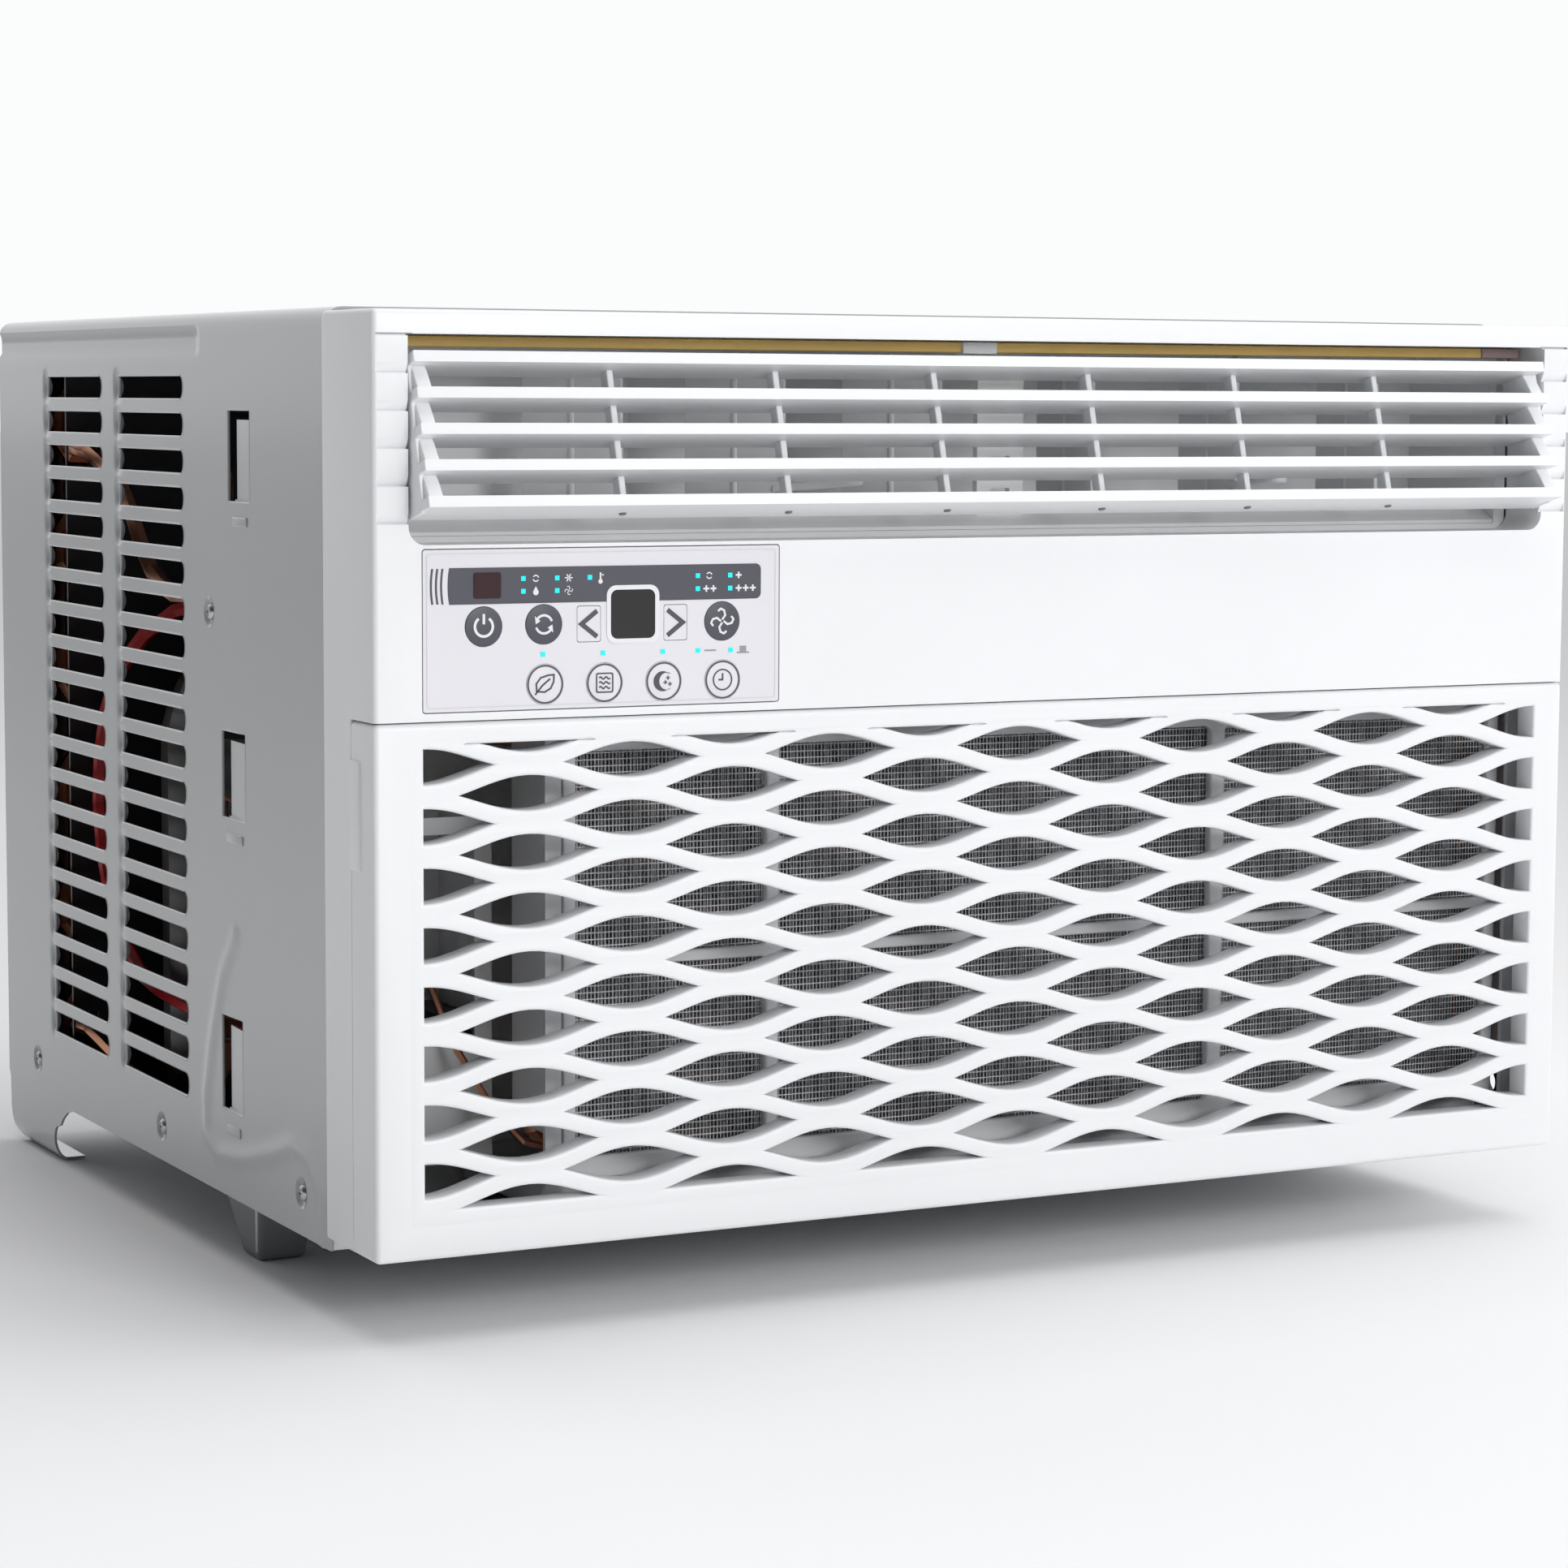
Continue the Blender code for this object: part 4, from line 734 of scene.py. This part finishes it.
def turned(name, profile, centre, axis, finish, steps=32):
    """A ring turned about an axis. Its profile is a closed outline of (radius, way along the axis)."""
    frame_of = {"X": ((0, 1, 0), (0, 0, 1), (1, 0, 0)), "Y": ((0, 0, 1), (1, 0, 0), (0, 1, 0))}
    across, up, along = (Vector(v) for v in frame_of[axis])
    made = bmesh.new()
    rings = []
    for radius, way in profile:
        middle = Vector(centre) + way * along
        if radius < 1e-7:
            rings.append([made.verts.new(middle)] * steps)
            continue
        rings.append([made.verts.new(middle + radius * (cos(a) * across + sin(a) * up))
                      for a in (2 * pi * i / steps for i in range(steps))])
    for one, two in zip(rings, rings[1:] + rings[:1]):
        for i in range(steps):
            j = (i + 1) % steps
            corners = list(dict.fromkeys((one[i], one[j], two[j], two[i])))
            if len(corners) > 2:
                made.faces.new(corners)
    bmesh.ops.recalc_face_normals(made, faces=made.faces)
    return smooth_by_angle(made_piece(name, made, finish), 35)


def screw(spot, axis, out):
    """A pan-head screw with a cross recess. Its head stands out of the spot along the axis."""
    head = [(0.0, 0.0006), (0.0030, 0.0006), (0.0031, 0.0), (0.0029, -0.0007), (0.0021, -0.0013),
            (0.0010, -0.0016), (0.0, -0.0017)]
    turned_head = turned("screw", [(r, -out * way) for r, way in head], spot, axis, SCREW, 28)
    tools = []
    for long_way in (0, 1):
        reach = Vector((0.0004, 0.0004, 0.0004))
        reach["XYZ".index(axis)] = 0.0009
        sides = [i for i in range(3) if i != "XYZ".index(axis)]
        reach[sides[long_way]] = 0.0017
        middle = Vector(spot)
        middle["XYZ".index(axis)] += out * 0.0019
        low, top = middle - reach, middle + reach
        tools.append(block("recess", (low.x, top.x), (low.y, top.y), (low.z, top.z)))
    return smooth_by_angle(cut(turned_head, *tools), 35)


def side_bead(loops, radius):
    """The rolled rims of openings in the side sheet, as one mesh."""
    routes = [[(-SIDE + 0.0004 - relief(depth, height), deep(depth), high(height))
               for depth, height in loop] for loop in loops]
    return smooth_by_angle(flatten(curve_piece("rims", routes, "3D", radius, 1, ENAMEL)), 60)


def lance(front, rear, low, top):
    """A tab pressed inward at its rear edge, with the small pad below it."""
    inner = -SIDE + 0.0012
    outline = [(-SIDE + 0.0001, deep(front - 0.0006)), (-SIDE + 0.0001, deep(front + 0.0010)),
               (inner - 0.0009, deep(front + 0.0042)), (inner, deep(rear - 0.0066)),
               (inner + 0.0010, deep(rear - 0.0066)), (inner + 0.0003, deep(front + 0.0040)),
               (-SIDE + 0.0012, deep(front + 0.0004)), (-SIDE + 0.0010, deep(front - 0.0006))]
    tab = plate("tab", [outline], (high(low) + high(top - 0.0036)) / 2, top - 0.0036 - low, "Z", ENAMEL)
    floor = rectangle((-SIDE + 0.0004, inner + 0.0008), (deep(front + 0.0005), deep(rear - 0.0066)))
    foot = plate("tab_foot", [floor], high(low + 0.0006), 0.0010, "Z", ENAMEL)
    button = rectangle((front + 0.0030, rear - 0.0050), (low - 0.0086, low - 0.0050), 0.0009)
    pad = plate("pad", [on_side(button)], -SIDE - 0.0001, 0.0007, "X", ENAMEL, edge=0.0003)
    return [tab, foot, pad]


def cabinet():
    sheet = side_sheet()
    openings = side_slots()
    lances = [slot_outline(*ends, 0.0006, 0.0006, 2) for ends in LANCES]
    dimples = [circle(depth, height, 0.0054, 28) for depth, height in SIDE_SCREWS]
    between, behind = foot_cuts()
    holes = [on_side(loop) for loop in [*openings, *lances, *dimples]]
    tool = plate("openings", holes, -SIDE, 0.02, "X")
    feet = [plate("foot_cut", [on_side(loop)], -SIDE + 0.01, 0.06, "X") for loop in (between, behind)]
    sheet = smooth_by_angle(cut(sheet, tool, *feet), 40)
    pieces = [sheet, side_bead(openings, 0.00062), side_bead(lances, 0.0005)]
    for ends in LANCES:
        pieces += lance(*ends)
    for depth, height in SIDE_SCREWS:
        spot = (-SIDE, deep(depth), high(height))
        cup = [(0.0057, -0.0001), (0.0052, 0.0000), (0.0044, 0.0008), (0.0036, 0.0012), (0.0, 0.0012),
               (0.0, 0.0019), (0.0042, 0.0019), (0.0057, 0.0009)]
        pieces.append(turned("dimple", cup, spot, "X", ENAMEL, 36))
        pieces.append(screw((-SIDE + 0.0011, *spot[1:]), "X", -1))
    half = merge("cabinet_shell", pieces)
    mirror = half.modifiers.new("other_side", "MIRROR")
    mirror.merge_threshold = 1e-5
    whole = smooth_by_angle(flatten(half), 40)
    mount(whole, "cabinet", slot="cabinet_steel")


cabinet()


def rear_guard():
    rim = SIDE - 0.0014
    low, top = 0.0010, ROOF - 0.0014
    step = rim - 0.0018
    shoulder, bevel = 0.0226, 0.007
    half = [(step, low), (step, shoulder), (rim, shoulder), (rim, top - bevel), (rim - bevel, top)]
    outline = half + [(-x, height) for x, height in half[::-1]]
    holes = [rectangle((left, left + 0.1360), (foot, foot + 0.0150), 0.0042)
             for left in (-0.2200, -0.0680, 0.0840) for foot in (0.030 + 0.0235 * n for n in range(11))]
    pieces = [plate("guard", [outline, *holes], 0.4245, 0.0012, "Y", ENAMEL, edge=0.0004)]
    for x in (-0.2285, 0.0, 0.2285):
        for height in (0.012, 0.3010):
            pieces.append(screw((x, deep(0.4251), high(height)), "Y", 1))
    mount(merge("rear_guard_sheet", pieces), "rear_guard", slot="cabinet_steel")


rear_guard()


def front_foot(side, name):
    """A folded bracket that tapers down to its pad, with a bead along its outer front fold."""
    low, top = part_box(name)
    middle = (low + top) / 2
    made = bmesh.new()
    add_box(made, low, top)
    for vert in made.verts:
        if vert.co.z < middle.z:
            vert.co.x = middle.x + side * max(side * (vert.co.x - middle.x), -0.006)
            vert.co.y = min(vert.co.y, low.y + 0.018)
    bmesh.ops.bevel(made, geom=made.edges[:], offset=0.0024, segments=4, affect="EDGES", profile=0.6)
    for vert in made.verts:
        vert.co.z = max(vert.co.z, low.z)
    body = smooth_by_angle(made_piece(name, made, DARK), 30)
    reach = (top.x - low.x) / 2
    fold = rectangle((low.y + 0.0016, low.y + 0.0032), (low.z + 0.0030, top.z - 0.0015))
    lip = plate("fold", [fold], middle.x + side * (reach - 0.0003), 0.0014, "X", STEEL, edge=0.0003)
    mount(merge(name + "_bracket", [body, lip]), name, slot="dark_steel")


front_foot(-1, "front_foot_left")
front_foot(1, "front_foot_right")


# ---- controls

def stroke(points, width):
    """The outline of a line of one width through the points."""
    spots = [Vector(p) for p in points]
    left, right = [], []
    for i, spot in enumerate(spots):
        before = (spot - spots[i - 1]).normalized() if i else None
        after = (spots[i + 1] - spot).normalized() if i + 1 < len(spots) else None
        run = (before or after) + (after or before)
        run.normalize()
        normal = Vector((-run.y, run.x))
        lean = normal.dot(Vector((-(after or before).y, (after or before).x)))
        left.append(spot + normal * width / 2 / max(lean, 0.5))
        right.append(spot - normal * width / 2 / max(lean, 0.5))
    return [tuple(p) for p in left + right[::-1]]


def printed(name, shapes, front, finish, thickness=0.00012):
    """Flat shapes laid on a face. Each shape is an outline and the holes in it."""
    marks = [plate(name, shape, front - thickness / 2, thickness, "Y", finish) for shape in shapes]
    return merge(name, marks, finish)


def plus(cx, cz, reach, width):
    half = width / 2
    arm = [(-half, -reach), (half, -reach), (half, -half)]
    loop = []
    for _ in range(4):
        loop += arm
        arm = [(-z, x) for x, z in arm]
    return [(cx + x, cz + z) for x, z in loop]


def at(cx, cz, sign, size=1.0):
    """A sign's shapes, drawn about the origin, moved to their place on the overlay."""
    return [[[(cx + size * x, cz + size * z) for x, z in loop] for loop in shape] for shape in sign]


def polar(radius, angle):
    return arc(0, 0, radius, angle, angle, 1)[0]


def fan_sign():
    blade = [(0.0, 0.0005), (0.0011, 0.0020), (0.0007, 0.0036), (-0.0006, 0.0042), (-0.0016, 0.0034)]
    shapes = []
    for turn in (0, 90, 180, 270):
        c, s = cos(radians(turn)), sin(radians(turn))
        shapes.append([stroke([(x * c - z * s, x * s + z * c) for x, z in blade], 0.0007)])
    return shapes


def leaf_sign():
    edge = [(-0.0030, -0.0026), (-0.0032, 0.0002), (-0.0016, 0.0022), (0.0012, 0.0030), (0.0032, 0.0031),
            (0.0031, 0.0008), (0.0020, -0.0014), (-0.0002, -0.0026), (-0.0024, -0.0024)]
    vein = [(-0.0036, -0.0034), (-0.0010, -0.0004), (0.0018, 0.0018)]
    return [[stroke(edge, 0.0006)], [stroke(vein, 0.0006)]]


def filter_sign():
    shapes = [[around(0, 0, 0.0032, 0.0034, 0.0007, 3), around(0, 0, 0.0027, 0.0029, 0.0004, 3)]]
    for level in (-0.0016, 0.0, 0.0016):
        wave = [(0.0004 * i - 0.0020, level + 0.0004 * sin(i * 1.25)) for i in range(11)]
        shapes.append([stroke(wave, 0.0005)])
    return shapes


POWER = [[stroke(arc(0, 0, 0.0032, 125, 415, 28), 0.0009)],
         [rectangle((-0.00045, 0.00045), (0.0008, 0.0042))]]
CYCLE = [
    *[[stroke(arc(0, 0, 0.0030, turn + 20, turn + 140, 12), 0.0008)] for turn in (0, 180)],
    *[[[polar(0.0017, turn + 140), polar(0.0043, turn + 140), polar(0.0030, turn + 178)]]
      for turn in (0, 180)],
]
MOON = [
    [arc(-0.0004, 0, 0.0034, 50, 310, 24) + arc(0.0012, 0, 0.0029, 300, 60, 20)],
    *[[plus(x, z, 0.0007, 0.0004)] for x, z in ((0.0016, 0.0011), (0.0023, -0.0010), (0.0006, -0.0004))],
]
CLOCK = [[circle(0, 0, 0.0037, 40), circle(0, 0, 0.0032, 40)],
         [stroke([(0, 0.0022), (0, 0), (-0.0015, 0)], 0.0006)]]
FLAKE = [[stroke([polar(0.0002, turn), polar(0.0014, turn)], 0.0004)] for turn in range(0, 360, 60)]
DROP = [[[*arc(0, -0.0004, 0.0010, 160, 380, 12), (0, 0.0016)]]]
SMALL_CYCLE = [[stroke(arc(0, 0, 0.0010, turn + 15, turn + 150, 8), 0.0004)] for turn in (0, 180)]
THERMOMETER = [[circle(0, -0.0012, 0.0008, 16)], [rectangle((-0.0003, 0.0003), (-0.0004, 0.0018))],
               [rectangle((0.0005, 0.0012), (0.0008, 0.0012))]]
KEY_SIGNS = {"power": POWER, "mode": CYCLE, "fan": fan_sign(), "eco": leaf_sign(),
             "filter": filter_sign(), "sleep": MOON, "timer": CLOCK}
SOLID_KEYS = ("power", "mode", "fan")
FACE = -0.0002  # the keys' faces stand this far in front of the bezel


def keys():
    for name, (cx, cz, radius) in ROUND_KEYS.items():
        solid = name in SOLID_KEYS
        face = plate("face", [circle(cx, cz, radius + 0.0003, 56)], 0.0009, 0.0022, "Y",
                     SLATE if solid else FILM, edge=0.0002)
        marks = printed("icon", at(cx, cz, KEY_SIGNS[name]), FACE, PRINT_WHITE if solid else SLATE)
        pieces = [face, marks]
        if not solid:
            ring = [circle(cx, cz, radius + 0.0001, 56), circle(cx, cz, radius - 0.0005, 56)]
            pieces.append(printed("ring", [ring], FACE, SLATE))
        mount(merge(f"{name}_key_cap", pieces), f"button_{name}",
              slot="key_slate" if solid else "overlay", body=f"{name}_key")
    for name, (cx, cz, way) in ARROWS.items():
        face = plate("face", [around(cx, cz, 0.0042, 0.0059, 0.0008)], 0.0010, 0.0020, "Y", FILM)
        tip, tail = cx + way * 0.0027, cx - way * 0.0030
        chevron = stroke([(tail, cz + 0.0043), (tip, cz), (tail, cz - 0.0043)], 0.0016)
        marks = printed("chevron", [[chevron]], 0.0, SLATE)
        mount(merge(f"{name}_key_cap", [face, marks]), f"button_{name}", slot="overlay",
              body=f"{name}_key")


INDICATORS = [
    (-0.1891, 0.2256), (-0.1769, 0.2256), (-0.1650, 0.2256), (-0.1891, 0.2214), (-0.1769, 0.2214),
    (-0.1250, 0.2255), (-0.1128, 0.2255), (-0.1250, 0.2211), (-0.1128, 0.2211),
    (-0.1820, 0.2004), (-0.1601, 0.2003), (-0.1380, 0.2002), (-0.1248, 0.2002), (-0.1125, 0.2001),
]


def overlay():
    low, top = PANEL_TOP + 0.0034, 0.2354
    loops = [rectangle((OVERLAY_LEFT, OVERLAY_RIGHT), (low, top), 0.0009)]
    loops += [circle(cx, cz, radius + 0.00042, 56) for cx, cz, radius in ROUND_KEYS.values()]
    loops += [around(cx, cz, 0.0044, 0.0061, 0.0008) for cx, cz, _ in ARROWS.values()]
    base = plate("overlay", loops, 0.0011, 0.0022, "Y", FILM)
    band = [*arc(-0.1031, 0.2273, 0.0020, 90, 0, 6), *arc(-0.1031, 0.2194, 0.0020, 0, -90, 6),
            *arc(-0.1830, 0.2234, 0.0330, 190.5, 169.5, 8)]
    bar = printed("bar", [[band]], 0.0, SLATE)
    stripes = printed("stripes", [
        [stroke(arc(-0.1830 - 0.0018 * i, 0.2234, 0.0335, 190, 170, 8), 0.0007)] for i in (1, 2, 3)
    ], 0.0, SLATE)
    window = rectangle((-0.1573, -0.1409), (0.2049, 0.2213), 0.0024, 8)
    border = printed("border", [[rectangle((-0.1588, -0.1394), (0.2034, 0.2228), 0.0034, 8), window]],
                     -0.0001, PRINT_WHITE)
    line = printed("line", [[
        rectangle((OVERLAY_LEFT + 0.0012, OVERLAY_RIGHT - 0.0012), (low + 0.0012, top - 0.0012), 0.0012),
        rectangle((OVERLAY_LEFT + 0.0015, OVERLAY_RIGHT - 0.0015), (low + 0.0015, top - 0.0015), 0.0010),
    ]], 0.0, PALE_LINE)
    glass = printed("display", [[window]], 0.0001, GLASS_BLACK, 0.0003)
    white = [*at(-0.1727, 0.2256, FLAKE), *at(-0.1846, 0.2214, DROP),
             *at(-0.1727, 0.2214, KEY_SIGNS["fan"], 0.34), *at(-0.1846, 0.2256, SMALL_CYCLE),
             *at(-0.1207, 0.2255, SMALL_CYCLE), *at(-0.1611, 0.2254, THERMOMETER)]
    for count, x, z in ((1, -0.1096, 0.2255), (2, -0.1218, 0.2211), (3, -0.1096, 0.2211)):
        white += [[plus(x + 0.0027 * i, z, 0.0011, 0.0006)] for i in range(count)]
    dark = [[rectangle((-0.1224, -0.1180), (0.1999, 0.2004))],
            [rectangle((-0.1101, -0.1055), (0.1989, 0.1994))],
            [rectangle((-0.1090, -0.1066), (0.1994, 0.2014))]]
    lamps = [plate("lamp", [around(x, z, 0.0008, 0.0008)], -0.0001, 0.0003, "Y", CYAN)
             for x, z in INDICATORS]
    pieces = [base, bar, stripes, line, printed("signs", white, -0.0001, PRINT_WHITE),
              printed("signs", dark, 0.0, PRINT_GREY), *lamps]
    mount(merge("control_overlay", pieces), "control_panel", slot="overlay")
    mount(merge("display_glass", [border, glass]), "display_window", slot="black_gloss")
    pupil = rectangle((-0.2068, -0.1972), (0.2193, 0.2278), 0.0008)
    eye = printed("eye", [[pupil]], -0.0001, MAROON, 0.0004)
    mount(merge("remote_eye", [eye]), "eye_window", slot="eye_filter")


overlay()
keys()


# ---- filter

def strips(name, boxes, finish):
    """Many plain bars as one mesh, each given by its lowest and highest corner."""
    made = bmesh.new()
    for low, top in boxes:
        add_box(made, low, top)
    return made_piece(name, made, finish)


def air_filter():
    low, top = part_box("filter_frame")
    left, right = low.x, top.x
    foot, head = low.z - BASE, top.z - BASE
    uprights = [left + 0.005, -0.0860, -0.0810, 0.0990, 0.1050, right - 0.005]
    rails = [foot + 0.008, 0.0905, 0.0945, head - 0.006]
    windows = [rectangle((uprights[i], uprights[i + 1]), (rails[j], rails[j + 1]), 0.0022)
               for i in (0, 2, 4) for j in (0, 2)]
    outline = rectangle((left, right), (foot, head), 0.0030)
    grid = plate("filter_grid", [outline, *windows], (low.y + top.y) / 2 - FRONT, top.y - low.y, "Y",
                 WHITE, edge=0.0009)
    mount(grid, "filter_frame", slot="white_plastic", body="air_filter")
    low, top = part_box("filter_screen")
    middle = (low.y + top.y) / 2
    bars = []
    across, up = 0.00135, 0.0023
    for i in range(int((top.x - low.x) / across)):
        x = low.x + (i + 0.5) * across
        bars.append(((x - 0.00016, middle - 0.00016, low.z), (x + 0.00016, middle + 0.00016, top.z)))
    warp = strips("warp", bars, MESH)
    bars = []
    for i in range(int((top.z - low.z) / up)):
        z = low.z + (i + 0.5) * up
        bars.append(((low.x, middle - 0.0003, z - 0.00017), (top.x, middle + 0.0001, z + 0.00017)))
    weft = strips("weft", bars, WEFT)
    mount(merge("filter_mesh", [warp, weft]), "filter_screen", slot="filter_mesh", body="air_filter")


air_filter()


# ---- coils

def coil(node, pitch):
    """A block of thin fins with the tubes that run through it."""
    low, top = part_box(node)
    count = int((top.x - low.x) / pitch)
    boxes = []
    for i in range(count + 1):
        x = low.x + (top.x - low.x - 0.0002) * i / count
        boxes.append(((x, low.y, low.z), (x + 0.0002, top.y, top.z)))
    pieces = [strips("fins", boxes, FINS)]
    rows = round((top.z - low.z) / 0.0205)
    for row in range(rows):
        z = low.z + (row + 0.5) * (top.z - low.z) / rows
        for share in (0.28, 0.72):
            y = low.y + share * (top.y - low.y)
            pieces.append(rod("tube", ((low.x + top.x) / 2, y, z), 0.0034, top.x - low.x - 0.0006, "X",
                              COPPER, 16))
    mount(merge(node + "_fins", pieces), node, slot="aluminium_fins")


coil("evaporator_coil", 0.0017)
coil("condenser_coil", 0.0019)


def side_seals():
    """Foam between the condenser's end bends and the cabinet's sides."""
    pieces = [slab("seal", sorted((side * 0.2212, side * 0.2392)), (0.3995, 0.4038), (0.0005, 0.2980),
                   BLACK, 0.0008, 2) for side in (-1, 1)]
    mount(merge("side_seals", pieces), slot="black_plastic")


side_seals()


def far_bends(node, coil_node):
    """Return bends at a coil's right-hand end, like those that the frame has at its left."""
    low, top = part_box(coil_node)
    mesh = nodes[node].data.copy()
    mesh.transform(Matrix.Translation((low.x + top.x, 0, 0)) @ Matrix.Scale(-1, 4, (1, 0, 0)))
    mesh.flip_normals()
    mount(put(node + "_right", mesh, COPPER), slot="copper")


far_bends("evaporator_bends", "evaporator_coil")
far_bends("condenser_bends", "condenser_coil")


# ---- outlet lining and sill

def sill():
    """The sloping floor behind the outlet's lower edge, in front of the vanes' feet."""
    slope = prism("sill", [(0.0222, 0.2391), (0.0330, 0.2391), (0.0330, 0.2455), (0.0318, 0.2459),
                           (0.0222, 0.2403)], (-0.2243, 0.2243))
    slope.data.materials.append(INNER)
    mount(slope, slot="duct_plastic")


sill()


def lining():
    low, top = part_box("outlet_lining")
    y, z = (low.y, top.y), (low.z, top.z)
    pieces = [block("strip", (low.x, 0.211), y, z, GOLD, 0.0008, 2),
              block("end", (0.2112, top.x), y, z, ROSE, 0.0008, 2),
              block("divider", (-0.0156, -0.0018), (low.y - 0.0016, low.y + 0.003), (z[0] - 0.0004, z[1]),
                    INNER, 0.0004)]
    mount(merge("lining_strip", pieces), "outlet_lining", slot="outlet_foam")


lining()


# ---- stage

FLOOR_REACH = 30.0
FLOOR_GAP = 0.0002  # keeps the floor clear of the feet


def stage():
    made = bmesh.new()
    bmesh.ops.create_grid(made, x_segments=2, y_segments=2, size=FLOOR_REACH)
    floor = made_piece("floor", made, FLOOR)
    floor.location = (0, 0, -FLOOR_GAP)


def area_light(name, spot, aim, size, watts):
    data = bpy.data.lights.new(name, "AREA")
    data.shape = "RECTANGLE"
    data.size, data.size_y = size
    data.energy = watts
    obj = put(name, data)
    obj.location = spot
    obj.rotation_mode = "QUATERNION"
    obj.rotation_quaternion = (Vector(aim) - Vector(spot)).to_track_quat("-Z", "Y")


def sky():
    """Pale surroundings behind and right of the unit, dark ones in front and left of it."""
    world = bpy.data.worlds.new("studio")
    bpy.context.scene.world = world
    world.use_nodes = True
    tree = world.node_tree
    link = tree.links.new
    back = tree.nodes["Background"]
    place = tree.nodes.new("ShaderNodeTexCoord")
    along = tree.nodes.new("ShaderNodeVectorMath")
    along.operation = "DOT_PRODUCT"
    along.inputs[1].default_value = (0.75, 0.55, 0.0)
    link(place.outputs["Generated"], along.inputs[0])
    ramp = two_colour_ramp(tree, (0.25, 0.62), ((0.055, 0.056, 0.059), (0.97, 0.975, 0.98)))
    shift = tree.nodes.new("ShaderNodeMapRange")
    shift.inputs["From Min"].default_value = -1.0
    shift.inputs["From Max"].default_value = 1.0
    link(along.outputs["Value"], shift.inputs["Value"])
    link(shift.outputs["Result"], ramp.inputs["Fac"])
    link(ramp.outputs["Color"], back.inputs["Color"])
    back.inputs["Strength"].default_value = 1.0


def camera():
    data = bpy.data.cameras.new("camera")
    data.sensor_width = 36.0
    data.lens = 90.48
    obj = put("camera", data)
    yaw, pitch, roll = (radians(a) for a in (27.385, 5.612, 0.28))
    ahead = Vector((sin(yaw), cos(yaw), 0))
    right = Vector((cos(yaw), -sin(yaw), 0))
    up = Vector((0, 0, 1))
    view = cos(pitch) * ahead - sin(pitch) * up
    top = sin(pitch) * ahead + cos(pitch) * up
    across = cos(roll) * right + sin(roll) * top
    top = -sin(roll) * right + cos(roll) * top
    turn = Matrix((across, top, -view)).transposed().to_4x4()
    obj.matrix_world = Matrix.Translation((-0.7106, -1.4011, 0.3147)) @ turn
    bpy.context.scene.camera = obj


stage()
sky()
camera()
area_light("key", (1.1, -2.4, 1.2), (0, -0.1, 0.15), (1.6, 1.2), 6)
area_light("front", (0.35, -3.0, 1.05), (0, -0.1, 0.2), (1.0, 0.8), 30)
area_light("top", (0.2, -0.6, 2.4), (0.1, -0.6, 0), (2.4, 2.4), 24)
bpy.context.scene.view_settings.view_transform = "Standard"
